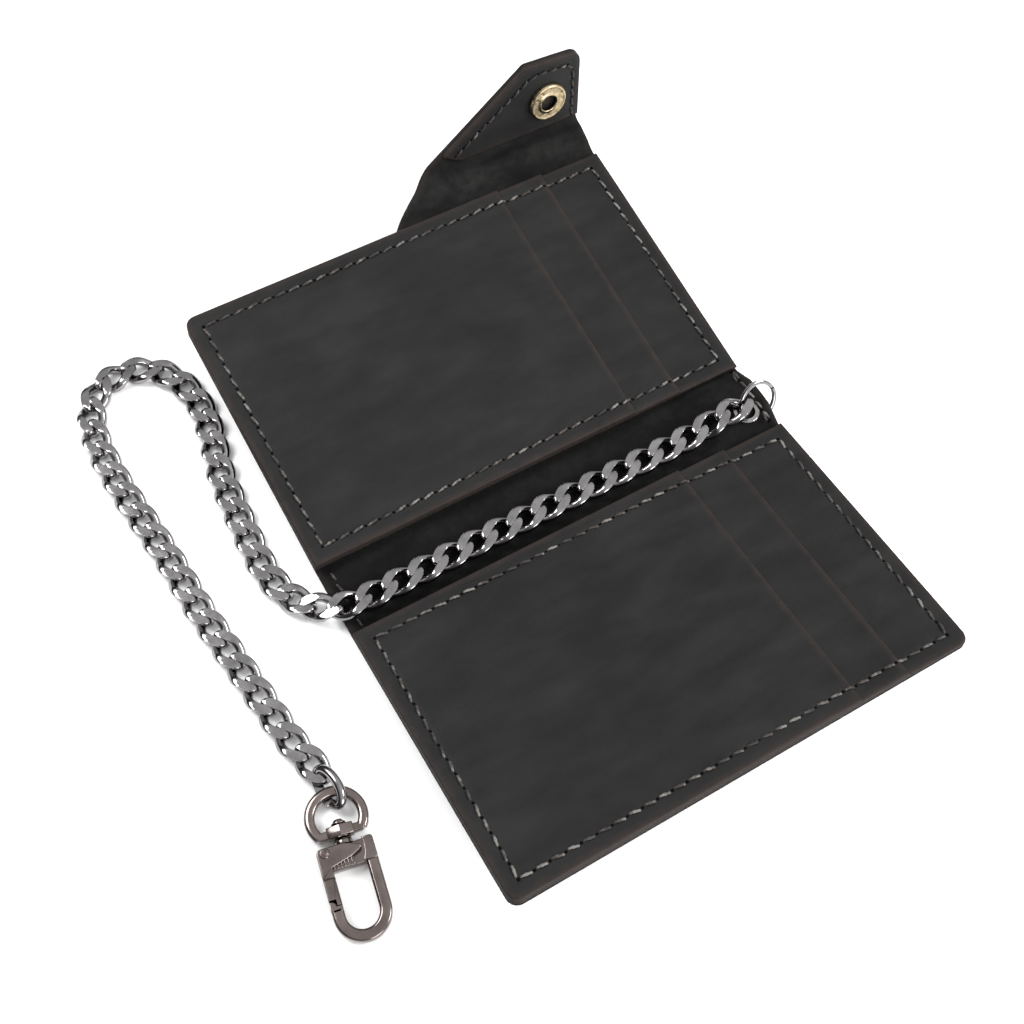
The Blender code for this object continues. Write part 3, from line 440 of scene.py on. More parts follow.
chainSettings = {
    "length": 0.318, "width": 0.0068, "pitch": 6.35 * mm,
    "halfLength": 4.35 * mm, "halfWidth": 2.45 * mm, "wire": 1.03 * mm, "twist": math.radians(-60.0),
    "flat": 1.30 * mm, "around": 22, "along": 48, "ringEnd": -0.15 * mm, "clipEnd": 1.6 * mm,
    "lastLean": math.radians(46.0), "lastLift": 0.85 * mm, "lastFlat": 0.98 * mm,
}
chainRoute = np.array([
    (0.0472, -0.0026, 0.0062), (0.0440, -0.0026, 0.0060), (0.0395, -0.0027, 0.0050),
    (0.0345, -0.0028, 0.0041),
    (0.0200, -0.0028, 0.0039), (0.0000, -0.0027, 0.0039), (-0.0200, -0.0027, 0.0039),
    (-0.0400, -0.0029, 0.0039),
    (-0.0530, -0.0027, 0.0039), (-0.0592, -0.0008, 0.0034), (-0.0635, 0.0034, 0.0022),
    (-0.0662, 0.0092, 0.0016),
    (-0.0672, 0.0160, 0.0016), (-0.0670, 0.0240, 0.0016), (-0.0664, 0.0330, 0.0016),
    (-0.0655, 0.0420, 0.0016),
    (-0.0636, 0.0505, 0.0016), (-0.0622, 0.0580, 0.0016), (-0.0622, 0.0655, 0.0016),
    (-0.0645, 0.0725, 0.0016),
    (-0.0690, 0.0772, 0.0016), (-0.0750, 0.0790, 0.0016), (-0.0810, 0.0772, 0.0016),
    (-0.0850, 0.0722, 0.0016),
    (-0.0869, 0.0650, 0.0016), (-0.0872, 0.0570, 0.0016), (-0.0866, 0.0470, 0.0016),
    (-0.0855, 0.0370, 0.0016),
    (-0.0845, 0.0260, 0.0016), (-0.0837, 0.0130, 0.0016), (-0.0822, 0.0000, 0.0016),
    (-0.0808, -0.0120, 0.0016),
    (-0.0795, -0.0230, 0.0016), (-0.0777, -0.0310, 0.0016), (-0.0772, -0.0351, 0.0018),
])


def smoothLine(route, spacing):
    # Catmull-Rom through the route, then read at even spacing along its length
    padded = np.vstack([2 * route[0] - route[1], route, 2 * route[-1] - route[-2]])
    a, b, c, d = padded[:-3, None], padded[1:-2, None], padded[2:-1, None], padded[3:, None]
    t = np.linspace(0, 1, 24, endpoint=False)[None, :, None]
    curve = 0.5 * (2 * b + (c - a) * t + (2 * a - 5 * b + 4 * c - d) * t**2 + (3 * b - a - 3 * c + d) * t**3)
    curve = np.vstack([curve.reshape(-1, 3), route[-1:]])
    walked = np.concatenate([[0], np.cumsum(np.linalg.norm(np.diff(curve, axis=0), axis=1))])
    places = np.linspace(0, walked[-1], int(round(walked[-1] / spacing)) + 1)
    return np.stack([np.interp(places, walked, curve[:, k]) for k in range(3)], -1), walked[-1]


def makeChain(settings):
    # a link is a flat oval twisted about the chain's line by an angle that grows along it, its wire round,
    # and then pressed flat where it stands higher than the chain's half thickness
    line, total = smoothLine(chainRoute, 0.5 * mm)
    count = int(round((total - settings["ringEnd"] + settings["clipEnd"]) / settings["pitch"])) + 1
    places = np.linspace(settings["ringEnd"], total + settings["clipEnd"], count)
    walked = np.linspace(0, total, len(line))
    angle = 2 * np.pi * np.arange(settings["along"]) / settings["along"]

    def linkShape(twist, lean):
        alongLine = settings["halfLength"] * np.cos(angle)
        turned = twist * np.cos(angle) + lean
        width = settings["halfWidth"] * np.sin(angle)
        oval = np.stack([alongLine, width * np.cos(turned), width * np.sin(turned)], -1)
        way = unit(np.roll(oval, -1, 0) - np.roll(oval, 1, 0))
        outward = np.stack(
            [np.cos(angle) * 0.6, np.sin(angle) * np.cos(turned), np.sin(angle) * np.sin(turned)], -1,
        )
        outward = unit(outward - (outward * way).sum(-1, keepdims=True) * way)
        return carriedProfile(
            oval, outward, np.cross(way, outward), roundProfile(settings["wire"], settings["around"]),
        )

    link = linkShape(settings["twist"], 0.0)
    link[..., 2] = np.clip(link[..., 2], -settings["flat"], settings["flat"])
    last = linkShape(0.0, settings["lastLean"])
    links = np.concatenate([np.broadcast_to(link, (count - 1, *link.shape)), last[None]])

    def at(distance):
        inside = np.clip(distance, 0, total)
        spot, ahead, behind = (
            np.stack([np.interp(inside + step, walked, line[:, k]) for k in range(3)], -1)
            for step in (0, 1.5 * mm, -1.5 * mm)
        )
        forward = unit(ahead - behind)
        return spot + (distance - inside)[..., None] * forward, forward

    middle, forward = at(places)
    middle[-1, 2] += settings["lastLift"]  # the last link climbs over the clip's eye
    side = unit(np.cross(np.array([0, 0, 1.0]), forward))
    above = np.cross(forward, side)
    points = (
        middle[:, None, None]
        + links[..., 0:1] * forward[:, None, None]
        + links[..., 1:2] * side[:, None, None]
        + links[..., 2:3] * above[:, None, None]
    )
    # the last link's lower limb is pressed thin where it passes under the clip's eye
    low = points[-1, :, :, 2].min(1) < 0.7 * mm
    points[-1, low, :, 2] = np.clip(points[-1, low, :, 2], 0.02 * mm, settings["lastFlat"])
    chain = gridPiece("curb_chain", points, chainMetal, closeRows=True, sharp=32.0)
    return chain, np.vstack([line, at(places[-1:])[0]])


chain, chainLine = makeChain(chainSettings)
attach(chain, "spine")
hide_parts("chain")
print("chain done")


stack = {
    "cover": (0.0, 1.4), "front": (3.8, 4.5), "foldHeight": 2.3,
    "halfSpan": 8.9, "panel": 69.0, "half": 57.5, "corner": 2.5, "midEdge": 40.5, "frontEdge": 27.5,
    "setback": 0.4,
    "seam": 3.6, "spineSeam": 2.9, "pitch": 3.55,
}


def jointPlace(name):
    return np.array(joints[name]["pos_m"])


hingeFrames = {
    "lower": (jointPlace("lower_fold"), math.radians(-6.0)),
    "upper": (jointPlace("upper_fold"), math.radians(8.7)),
    "strap": (jointPlace("tab_fold"), math.radians(27.2)),
    "tip": (jointPlace("tab_tip_fold"), math.radians(85.0)),
}


def inFrame(name, x, across, height):
    # x along the fold, across away from the hinge's axis, height above it, turned to the hinge's angle
    place, angle = hingeFrames[name]
    c, s = math.cos(angle), math.sin(angle)
    return np.stack([x, place[1] + across * c - height * s, place[2] + across * s + height * c], -1)


def roundedOutline(corners, steps=8):
    # corners as (x, s, radius) in order, each rounded; the outline comes back as (points, 2)
    out = []
    for k, (x, y, radius) in enumerate(corners):
        here = np.array([x, y], float)
        if radius == 0:
            out.append(here[None])
            continue
        before = unit(np.array(corners[k - 1][:2], float) - here)
        after = unit(np.array(corners[(k + 1) % len(corners)][:2], float) - here)
        half = math.acos(np.clip(before @ after, -1, 1)) / 2
        centre = here + unit(before + after) * radius / math.sin(half)
        a, b = (
            here + before * radius / math.tan(half) - centre, here + after * radius / math.tan(half) - centre
        )
        t = np.linspace(0, 1, steps + 1)[:, None]
        out.append(centre + radius * unit(a * (1 - t) + b * t))
    return np.vstack(out)


def distanceTo(points, starts, ends):
    # shortest way from each point to any of the segments
    span = ends - starts
    share = ((points[..., None, :] - starts) * span).sum(-1) / np.maximum((span * span).sum(-1), 1e-12)
    nearest = starts + np.clip(share, 0, 1)[..., None] * span
    return np.linalg.norm(points[..., None, :] - nearest, axis=-1).min(-1)


def stations(low, high, spacing, rim, fine=()):
    # even steps, with closer ones at both rims, where the edge is rounded, and round each fine place
    curve = rim * (1 - np.cos(np.linspace(0, np.pi / 2, 6)))
    near = np.concatenate([curve, [rim * 1.6, rim * 2.6]])
    values = [
        low + near, high - near, np.linspace(low + rim, high - rim, max(2, int((high - low) / spacing))),
    ]
    for place in fine:
        values.append(place + np.array([-1.0, -0.6, -0.35, -0.18, 0.0, 0.18, 0.35, 0.6, 1.0]))
    values = np.unique(np.round(np.concatenate(values), 4))
    values = values[(values >= low) & (values <= high)]
    keep = np.concatenate([[True], np.diff(values) > 0.03])
    keep[-1] = True
    return values[keep]


def wave(x, y, seed, size=1.0):
    # slow unevenness of the hide: a few sines whose ways and phases come from the seed
    rng = np.random.default_rng(seed)
    total = np.zeros_like(x)
    for _ in range(5):
        way, phase, length = rng.uniform(0, np.pi), rng.uniform(0, 2 * np.pi), rng.uniform(16, 48)
        total += np.sin((x * np.cos(way) + y * np.sin(way)) * 2 * np.pi / length + phase)
    return size * total / 5


def leatherSheet(name, settings, place, materials):
    # rows of constant s run between the outline's two sides; the thickness falls to nothing over the rim as a
    # quarter ellipse, so top and bottom meet in a rounded edge; seams press the faces in along their lines
    outline = roundedOutline(settings["corners"])
    starts, ends = outline, np.roll(outline, -1, 0)
    low, high = outline[:, 1].min(), outline[:, 1].max()
    rim = settings.get("rim", 0.6)
    s = stations(low, high, settings.get("step", 1.3), rim, settings.get("fineS", ()))
    inside = np.clip(s, low + 1e-6, high - 1e-6)
    crossing = (starts[None, :, 1] - inside[:, None]) * (ends[None, :, 1] - inside[:, None]) <= 0
    with np.errstate(divide="ignore", invalid="ignore"):
        share = (inside[:, None] - starts[None, :, 1]) / (ends - starts)[None, :, 1]
        spots = starts[None, :, 0] + share * (ends - starts)[None, :, 0]
    left = np.where(crossing, spots, np.inf).min(1)
    right = np.where(crossing, spots, -np.inf).max(1)
    x0, x1 = outline[:, 0].min(), outline[:, 0].max()
    columns = stations(x0, x1, settings.get("step", 1.3), rim, settings.get("fineX", ()))
    share = (columns - x0) / (x1 - x0)
    if settings.get("skew"):  # slanted sides: the columns lean with them
        x = left[:, None] + share[None] * (right - left)[:, None]
    else:
        x = np.clip(columns[None] + 0 * left[:, None], left[:, None], right[:, None])
    s = np.broadcast_to(s[:, None], x.shape)
    spots = np.stack([x, s], -1)
    butted = settings.get("butt", ())
    rounded = np.ones(len(outline), bool)
    for test in butted:
        rounded &= ~(test(starts) & test(ends))
    edge = distanceTo(spots, starts[rounded], ends[rounded])
    near = np.clip(edge / rim, 0, 1)
    puff = np.sqrt(np.clip(1 - (1 - near) ** 2, 0, 1))
    bottom, top = settings["height"]
    middle, half = (bottom + top) / 2, (top - bottom) / 2
    uneven = wave(x, s, settings.get("seed", 1), settings.get("wave", 0.10))
    press = np.zeros_like(x)
    for line in settings.get("seams", ()):
        away = distanceTo(spots, np.array(line[:-1], float), np.array(line[1:], float))
        press += np.exp(-((away / 0.55) ** 2)) * settings.get("pressDepth", 0.14)
    slump = settings.get("slump")
    drop = slump(x, s) if slump else 0.0
    topPuff = 1.0 if settings.get("squareTop") else puff
    lowPuff = 1.0 if settings.get("squareUnder") else puff
    topHeight = middle + half * topPuff + (uneven - press) * near + drop
    lowHeight = middle - half * lowPuff + (uneven + press * settings.get("pressBack", 0.0)) * near + drop
    upper, under = place(x, s, topHeight), place(x, s, lowHeight)
    rows, width = x.shape
    points = np.concatenate([upper.reshape(-1, 3), under.reshape(-1, 3)])
    topFaces = gridFaces(1, rows, width)[:, ::-1]
    lowFaces = gridFaces(1, rows, width) + rows * width
    a, b = np.arange(rows - 1), np.arange(width - 1)
    shift = rows * width

    def wall(one, two):
        return np.stack([one, two, two + shift, one + shift], -1)

    walls = np.concatenate([
        wall((b + 1), b), wall((rows - 1) * width + b, (rows - 1) * width + b + 1),
        wall(a * width, (a + 1) * width), wall((a + 1) * width + width - 1, a * width + width - 1),
    ])
    faces = np.concatenate([topFaces, lowFaces, walls])
    kinds = np.concatenate([np.zeros(len(topFaces)), np.ones(len(lowFaces)), np.ones(len(walls))])
    rimShade = np.clip(1 - edge / settings.get("rimShade", 2.2), 0, 1)
    shade = np.concatenate([rimShade.reshape(-1), rimShade.reshape(-1)])
    return addPiece(
        name, points * mm, faces, materials, kinds if len(materials) > 1 else None, sharp=50.0,
        attributes={"edge": shade},
    )


def flatPlace(frameName):
    # panel coordinates in mm: s away from the fold, height over the cover's outer face
    side = -1 if frameName == "lower" else 1
    def place(x, s, height):
        lift = stack["foldHeight"] if frameName in ("lower", "upper") else 2.0
        return inFrame(frameName, x * mm, side * s * mm, (height - lift) * mm) / mm
    return place


def bentPlace(side, pivot, start, end, angle, before):
    # a sheet laid by `before` up to start, and turned about the pivot from there by a share of the angle that
    # grows smoothly up to end
    def place(x, s, height):
        flat = before(x, s, height)
        t = np.clip((s - start) / (end - start), 0, 1)
        w = t * t * (3 - 2 * t) * angle
        y, z = flat[..., 1] - pivot[1], flat[..., 2] - pivot[2]
        return np.stack(
            [
                flat[..., 0], pivot[1] + y * np.cos(w) - z * np.sin(w),
                pivot[2] + y * np.sin(w) + z * np.cos(w),
            ],
            -1,
        )
    return place


arch = {"height": 2.8, "start": 21.5, "full": 12.0}


def spineLift(x):
    # the spine rises towards its ring end
    t = np.clip((x - (stack["half"] - arch["start"])) / (arch["start"] - arch["full"]), 0, 1)
    return arch["height"] * t * t * (3 - 2 * t)


def seamLoop():
    # the stitch line round a panel, its corners in order and the first one again
    inset = stack["seam"]
    near, far = stack["setback"] + inset, stack["panel"] - inset
    left, right = -stack["half"] + inset, stack["half"] - inset
    return [(left, near), (right, near), (right, far), (left, far), (left, near)]


tab = {
    "left": -1.3, "right": 57.5, "tipLength": 21.1, "bendHeight": 2.0,
    "firstBend": (-0.25, 3.8), "secondBend": (-3.4, 1.4),
    "length": float(np.linalg.norm(jointPlace("tab_tip_fold") - jointPlace("tab_fold"))) / mm,
}
foldBend = {"start": 6.6, "end": 11.4}  # along the cover, from the middle of the spine


def makeCover(name, side):
    # one half of the cover, from the middle of the spine to the free edge, in row coordinates
    half, fold, reach = stack["half"], stack["halfSpan"], stack["panel"]
    sEnd = fold + reach
    corners = [(-half, 0, 0), (half, 0, 0)]
    if side > 0:
        corners += [(half, sEnd, 0), (tab["left"], sEnd, 0), (-half, sEnd, stack["corner"])]
    else:
        corners += [(half, sEnd, stack["corner"]), (-half, sEnd, stack["corner"])]
    pivot = np.array([0, side * fold, stack["foldHeight"]])
    angle = hingeFrames["upper" if side > 0 else "lower"][1]

    def flat(x, s, height):
        lift = spineLift(x) * np.clip(1 - (s - 3.5) / (fold - 3.5), 0, 1)
        return np.stack([x, side * s, height + lift], -1)

    place = bentPlace(side, pivot, foldBend["start"], foldBend["end"], angle, flat)
    inset = stack["seam"]
    left, right, near, far = -half + inset, half - inset, fold + stack["setback"] + inset, sEnd - inset
    seams = [[(left, near), (right, near), (right, far), (left, far), (left, near)]]
    butt = [lambda p: p[:, 1] < 1e-6]
    if side > 0:
        butt.append(lambda p: (p[:, 1] > sEnd - 1e-6) & (p[:, 0] > tab["left"] - 0.1))
    settings = {
        "corners": corners, "height": stack["cover"], "rim": 0.7, "step": 1.5, "wave": 0.07, "seed": 3 + side,
        "fineS": (fold - 1.5, fold, fold + 1.5, near, far), "fineX": (left, right, tab["left"]),
        "seams": seams,
        "pressDepth": 0.0, "pressBack": 0.15, "butt": butt,
    }
    # the inner face takes the darker suede: painted shade, as it shows only in the spine's gap
    return leatherSheet(name, settings, place, [shadedSpineSuede, waxedLeather])


coverLower = makeCover("lower_cover", -1)
coverUpper = makeCover("upper_cover", 1)
for cover, body, side in ((coverLower, "lower_panel", -1), (coverUpper, "upper_panel", 1)):
    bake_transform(cover)
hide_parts("cover_lower", "cover_spine")
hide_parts("cover_upper")
print("cover done")


def makePly(name, frameName, height, right, rightRadius, seed, slump=None):
    half, corner = stack["half"], stack["corner"]
    near, far = stack["setback"], stack["panel"]
    inset = stack["seam"]
    seams = []
    sides = (-half + inset, half - inset)
    low, high = near + inset, far - inset
    seams.append([(sides[0], low), (sides[0], high)])
    seams.append([(sides[0], low), (min(sides[1], right), low)])
    seams.append([(sides[0], high), (min(sides[1], right), high)])
    fineX = [sides[0]]
    if right > sides[1]:
        seams.append([(sides[1], low), (sides[1], high)])
        fineX.append(sides[1])
    outer = 0 if frameName == "upper" else rightRadius  # the tab leaves the upper panel at this corner
    settings = {
        "corners": [(-half, near, 0), (right, near, 0), (right, far, outer), (-half, far, corner)],
        "height": height, "rim": 0.45, "step": 1.5, "wave": 0.12, "seed": seed, "fineS": (low, high),
        "fineX": fineX,
        "seams": seams, "slump": slump,
    }
    ply = leatherSheet(name, settings, flatPlace(frameName), [waxedLeather])
    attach(ply, frameName + "_panel")
    return ply


def pocketSlump(edgeX, amount):
    # the pocket's open edge lies down a little on what is under it
    def slump(x, s):
        middle = 1 - np.abs((s - 34.7) / 34.3) ** 2.2
        return -amount * np.exp(-((edgeX - x) / 9.0)) * np.clip(middle, 0, 1)
    return slump


for frameName, seed in (("lower", 11), ("upper", 21)):
    lining = makePly(
        frameName + "_lining_leather", frameName, (1.35, 2.5), stack["half"], stack["corner"], seed,
    )
    mid = makePly(
        frameName + "_mid_leather", frameName, (2.45, 3.5), stack["midEdge"], 0, seed + 1,
        pocketSlump(stack["midEdge"], 0.30),
    )
    front = makePly(
        frameName + "_front_leather", frameName, (3.45, 4.5), stack["frontEdge"], 0, seed + 2,
        pocketSlump(stack["frontEdge"], 0.42),
    )
    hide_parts(frameName + "_lining")
    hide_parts(frameName + "_mid_pocket")
    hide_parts(frameName + "_front_pocket")
print("pockets done")


# the tab: the cover's tongue in two pieces, each across one of its bends, and the facing on its end
def strapPlace(x, s, height):
    # s from the tab's first bend, along the strap
    return inFrame("strap", x * mm, s * mm, (height - tab["bendHeight"]) * mm) / mm


def panelPlace(x, s, height):
    # the same s, laid on along the upper panel: the bend's axis stands 0.3 mm past the panel's edge
    return inFrame("upper", x * mm, (stack["panel"] + 0.3 + s) * mm, (height - stack["foldHeight"]) * mm) / mm


def makeTabPieces():
    length, left, right, tipLength = tab["length"], tab["left"], tab["right"], tab["tipLength"]
    middle = length * 0.5
    first, second = jointPlace("tab_fold") / mm, jointPlace("tab_tip_fold") / mm
    # the strap's slanted side is a parabola that leans more towards the tip
    rise = np.linspace(-0.3, 11.0, 15)
    bow = left + 1.02 * rise + 0.0255 * rise**2
    cut = float(np.interp(middle, rise, bow))
    lowSide = [(float(x), float(y), 0) for x, y in zip(bow, rise) if 0 < y < middle - 0.3][::-1]
    highSide = [(float(x), float(y), 0) for x, y in zip(bow, rise) if middle + 0.3 < y < length][::-1]
    rootPlace = bentPlace(
        1, first, tab["firstBend"][0], tab["firstBend"][1], hingeFrames["strap"][1] - hingeFrames["upper"][1],
        panelPlace,
    )
    root = leatherSheet(
        "tab_root",
        {
            "corners": [(left, -0.3, 0), (right, -0.3, 0), (right, middle, 0), (cut, middle, 0), *lowSide],
            "height": stack["cover"], "rim": 0.6, "step": 1.0, "wave": 0.0, "skew": True, "seed": 31,
            "butt": [lambda p: p[:, 1] < -0.29, lambda p: p[:, 1] > middle - 1e-4],
            "fineS": (0.5, 1.5, 2.5, 3.5),
        },
        rootPlace, [fleshSide, waxedLeather],
    )
    start, end = tab["firstBend"]
    tuple(rootPlace(0, start, 1.0) * mm)
    tuple(rootPlace(0, end, 1.0) * mm)
    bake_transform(root)
    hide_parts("tab_strap")
    endPlace = bentPlace(
        1, second, length + tab["secondBend"][0], length + tab["secondBend"][1],
        hingeFrames["tip"][1] - hingeFrames["strap"][1], strapPlace,
    )
    end = leatherSheet(
        "tab_end",
        {
            "corners": [
                (cut, middle, 0), (right, middle, 0), (right, length + tipLength - 1.0, 3.2),
                (41.6, length + tipLength, 1.5), (float(bow[-1]), length, 0), *highSide[1:],
            ],
            "height": stack["cover"], "rim": 0.7, "step": 0.9, "wave": 0.05, "skew": True, "seed": 33,
            "butt": [lambda p: p[:, 1] < middle + 1e-4],
            "fineS": (length - 2.5, length - 1.2, length, length + 1.2),
        },
        endPlace, [fleshSide, waxedLeather],
    )
    start, stop = tab["secondBend"]
    tuple(endPlace(0, length + start, 1.0) * mm)
    tuple(endPlace(0, length + stop, 1.0) * mm)
    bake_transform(end)
    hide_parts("tab_tip")

    seam = [(55.2, 0.9), (55.2, 16.2), (54.2, 17.2), (44.3, 17.9), (42.9, 17.5), (30.2, 8.7), (21.3, 2.3)]
    facing = leatherSheet(
        "tab_facing",
        {
            "corners": [
                (22.8, 0.3, 0), (57.4, 0.3, 0), (57.4, tipLength - 1.05, 3.1), (41.7, tipLength - 0.05, 1.5),
                (17.8, 3.3, 0.6),
            ],
            "height": (1.30, 2.4), "rim": 0.4, "step": 0.8, "wave": 0.05, "skew": True, "seed": 35,
            "seams": [seam],
            "squareUnder": True,
        },
        flatPlace("tip"), [waxedLeather],
    )
    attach(facing, "tab_tip")
    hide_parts("tab_lining")
    return seam


tabSeam = makeTabPieces()
print("tab done")


stitch = {"radius": 0.27, "around": 8, "along": 9, "length": 0.80, "slant": 0.14, "hole": 0.40}


def alongSeam(points, pitch):
    # even stitches along an open line: the ends of each
    points = np.array(points, float)
    walked = np.concatenate([[0], np.cumsum(np.linalg.norm(np.diff(points, axis=0), axis=1))])
    count = max(1, int(round(walked[-1] / pitch)))
    marks = np.linspace(0, walked[-1], count + 1)
    spots = np.stack([np.interp(marks, walked, points[:, k]) for k in range(points.shape[1])], -1)
    return spots


def stitchRow(name, body, nodes, lines, place, heightAt, pitch, side=1, seed=5):
    # each stitch is a two-ply thread carried on a low arch between its holes, and its radius swells with the
    # plies
    rng = np.random.default_rng(seed)
    starts, ends = [], []
    for line in lines:
        spots = alongSeam(line, pitch)
        starts.append(spots[:-1])
        ends.append(spots[1:])
    starts, ends = np.vstack(starts), np.vstack(ends)
    way = unit(ends - starts)
    normal = np.stack([-way[:, 1], way[:, 0]], -1)
    gap = np.linalg.norm(ends - starts, axis=1, keepdims=True)
    middle = (starts + ends) / 2
    lean = (stitch["slant"] + rng.uniform(-0.05, 0.05, (len(starts), 1))) * side
    half = gap * stitch["length"] / 2 * (1 + rng.uniform(-0.08, 0.06, (len(starts), 1)))
    t = np.linspace(-1, 1, stitch["along"])
    flat = middle[:, None] + t[None, :, None] * (
        half[:, None] * way[:, None] + lean[:, None] * gap[:, None] * 0.5 * normal[:, None]
    )
    high = heightAt(flat[..., 0]) + side * (0.16 - 0.42 * np.abs(t[None]) ** 3.5)
    path = place(flat[..., 0], flat[..., 1], high)
    ahead = unit(np.gradient(path, axis=1))
    level = place(flat[..., 0], flat[..., 1], high + side * 1.0) - path
    across = unit(np.cross(level, ahead))
    up = np.cross(ahead, across)
    spin = -2 * np.pi * np.arange(stitch["around"]) / stitch["around"]
    radius = stitch["radius"] * np.sqrt(np.clip(1 - np.abs(t) ** 6, 0, 1))[:, None] * (
        1 + 0.20 * np.cos(2 * spin[None] + 7.0 * t[:, None])
    )
    profile = np.stack([radius * np.cos(spin) * 1.12, radius * np.sin(spin) * 0.80], -1)[None]
    points = carriedProfile(path, across, up, profile)
    row = gridPiece(name, points * mm, waxedThread, closeColumns=True, sharp=80.0)
    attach(row, body)
    if nodes:
        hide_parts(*nodes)
    # the awl holes: low lens shapes at the stitches' ends, painted near-black as the shade inside each hole
    marks = np.unique(np.round(np.vstack([starts, ends]), 3), axis=0)
    ringAngle = np.linspace(0, 2 * np.pi, 9)[:-1]
    ringSize = np.array([1.0, 0.9, 0.55, 0.0]) * stitch["hole"]
    lift = np.array([-0.10, 0.05, 0.09, 0.10]) * side
    x = marks[:, None, None, 0] + ringSize[None, :, None] * np.cos(ringAngle) * 1.0
    y = marks[:, None, None, 1] + ringSize[None, :, None] * np.sin(ringAngle) * 1.0
    z = heightAt(marks[:, 0])[:, None, None] + lift[None, :, None] - 0.13 * side + 0 * x
    holes = gridPiece(name + "_holes", place(x, y, z) * mm, awlHoleShade, closeColumns=True, sharp=80.0)
    shape = bmesh.new()
    shape.from_mesh(holes.data)
    bmesh.ops.holes_fill(shape, edges=[e for e in shape.edges if e.is_boundary], sides=0)
    bmesh.ops.recalc_face_normals(shape, faces=shape.faces)
    shape.to_mesh(holes.data)
    shape.free()
    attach(holes, body)
    return row


def panelTop(x):
    # top of the stack under a stitch at x
    run = 0.5
    t1 = np.clip((x - stack["frontEdge"] + run) / (2 * run), 0, 1)
    t2 = np.clip((x - stack["midEdge"] + run) / (2 * run), 0, 1)
    return stack["front"][1] - t1 * 1.0 - t2 * 1.0 - 0.02


def outside(x):
    return np.zeros_like(x)


for frameName, seed in (("lower", 51), ("upper", 61)):
    loop = seamLoop()
    lines = [loop[k : k + 2] for k in range(4)]
    stitchRow(
        frameName + "_stitches", frameName + "_panel", [frameName + "_thread"], lines, flatPlace(frameName),
        panelTop, stack["pitch"], 1, seed,
    )
    stitchRow(
        frameName + "_stitches_outside", frameName + "_panel", [], lines, flatPlace(frameName), outside,
        stack["pitch"], -1, seed + 1,
    )


def spinePlace(x, s, height):
    return np.stack([x, s, height + spineLift(x)], -1)


spineEnd = stack["half"] - stack["spineSeam"]
for name, x in (("left", -spineEnd), ("right", spineEnd)):
    lines = [[(x, -8.0), (x, 8.0)]]
    stitchRow(
        "spine_stitches_" + name, "spine", ["spine_thread_" + name], lines, spinePlace,
        lambda v: np.full_like(v, 1.4), 3.2, 1, 71,
    )
    # the spine lies on its underside, so its stitches are sunk into the hide there
    stitchRow(
        "spine_stitches_outside_" + name, "spine", [], lines, spinePlace, lambda v: outside(v) + 0.34, 3.2,
        -1, 72,
    )
stitchRow(
    "tab_stitches", "tab_tip", ["tab_thread"], [tabSeam], flatPlace("tip"), lambda v: np.full_like(v, 2.4),
    2.9, 1, 81,
)
stitchRow("tab_stitches_outside", "tab_tip", [], [tabSeam], flatPlace("tip"), outside, 2.9, -1, 82)
print("stitching done")


def cappedFaces(rows, count):
    # a tube of quads, with one face over each end
    faces = gridFaces(1, rows, count, closeColumns=True).tolist()
    return faces + [list(range(count)), list(range((rows - 1) * count, rows * count))]


def slabShell(outline, low, high, bevel, steps=3):
    # a closed outline carried upwards: it grows out by a quarter circle above its foot, and draws in again by
    # another at its top
    outline = np.asarray(outline, float)
    before, after = unit(outline - np.roll(outline, 1, 0)), unit(np.roll(outline, -1, 0) - outline)
    first, second = np.stack([before[:, 1], -before[:, 0]], -1), np.stack([after[:, 1], -after[:, 0]], -1)
    turn = np.sign(
        np.sum(outline[:, 0] * np.roll(outline[:, 1], -1) - np.roll(outline[:, 0], -1) * outline[:, 1]),
    )
    mitre = turn * (first + second) / np.maximum(1 + (first * second).sum(-1, keepdims=True), 0.4)
    t = np.linspace(0, np.pi / 2, steps + 1)
    inset = np.concatenate([[bevel + 0.04], bevel * (1 - np.sin(t)), bevel * (1 - np.cos(t)), [bevel + 0.04]])
    height = np.concatenate([[low], low + bevel * (1 - np.cos(t)), high - bevel + bevel * np.sin(t), [high]])
    rings = np.concatenate([
        outline[None] - inset[:, None, None] * mitre[None],
        np.broadcast_to(height[:, None, None], (len(height), len(outline), 1)),
    ], -1)
    count, rows = len(outline), len(height)
    return rings.reshape(-1, 3), cappedFaces(rows, count)


def barShell(path, profile, up=(0, 0, 1.0)):
    # an open bar: the profile (across, up) carried along the path, its ends closed
    path = np.asarray(path, float)
    way = unit(np.gradient(path, axis=0))
    across = unit(np.cross(way, np.asarray(up)))
    rings = carriedProfile(path, across, np.cross(across, way), np.asarray(profile, float))
    rows, count = rings.shape[:2]
    return rings.reshape(-1, 3), cappedFaces(rows, count)


def bevelledBar(halfWidth, halfHeight, bevel, steps=2):
    # a rectangle with rounded corners, as (across, up)
    corners = [
        (-halfWidth, -halfHeight), (halfWidth, -halfHeight), (halfWidth, halfHeight),
        (-halfWidth, halfHeight),
    ]
    return roundedOutline([(a, b, bevel) for a, b in corners], steps)


def turnedShell(profile, centre, axis, steps=32):
    # a closed shape of revolution from (radius, height) pairs that start and end on the axis
    profile = np.asarray(profile, float)
    axis = unit(np.asarray(axis, float))
    helper = np.array([1.0, 0, 0]) if abs(axis[0]) < 0.8 else np.array([0, 1.0, 0])
    side = unit(np.cross(helper, axis))
    other = np.cross(axis, side)
    angle = 2 * np.pi * np.arange(steps) / steps
    ring = np.cos(angle)[:, None] * side + np.sin(angle)[:, None] * other
    points = np.asarray(centre, float) + profile[:, None, 1:2] * axis + profile[:, None, 0:1] * ring[None]
    return points.reshape(-1, 3), gridFaces(1, len(profile), steps, closeColumns=True).tolist()


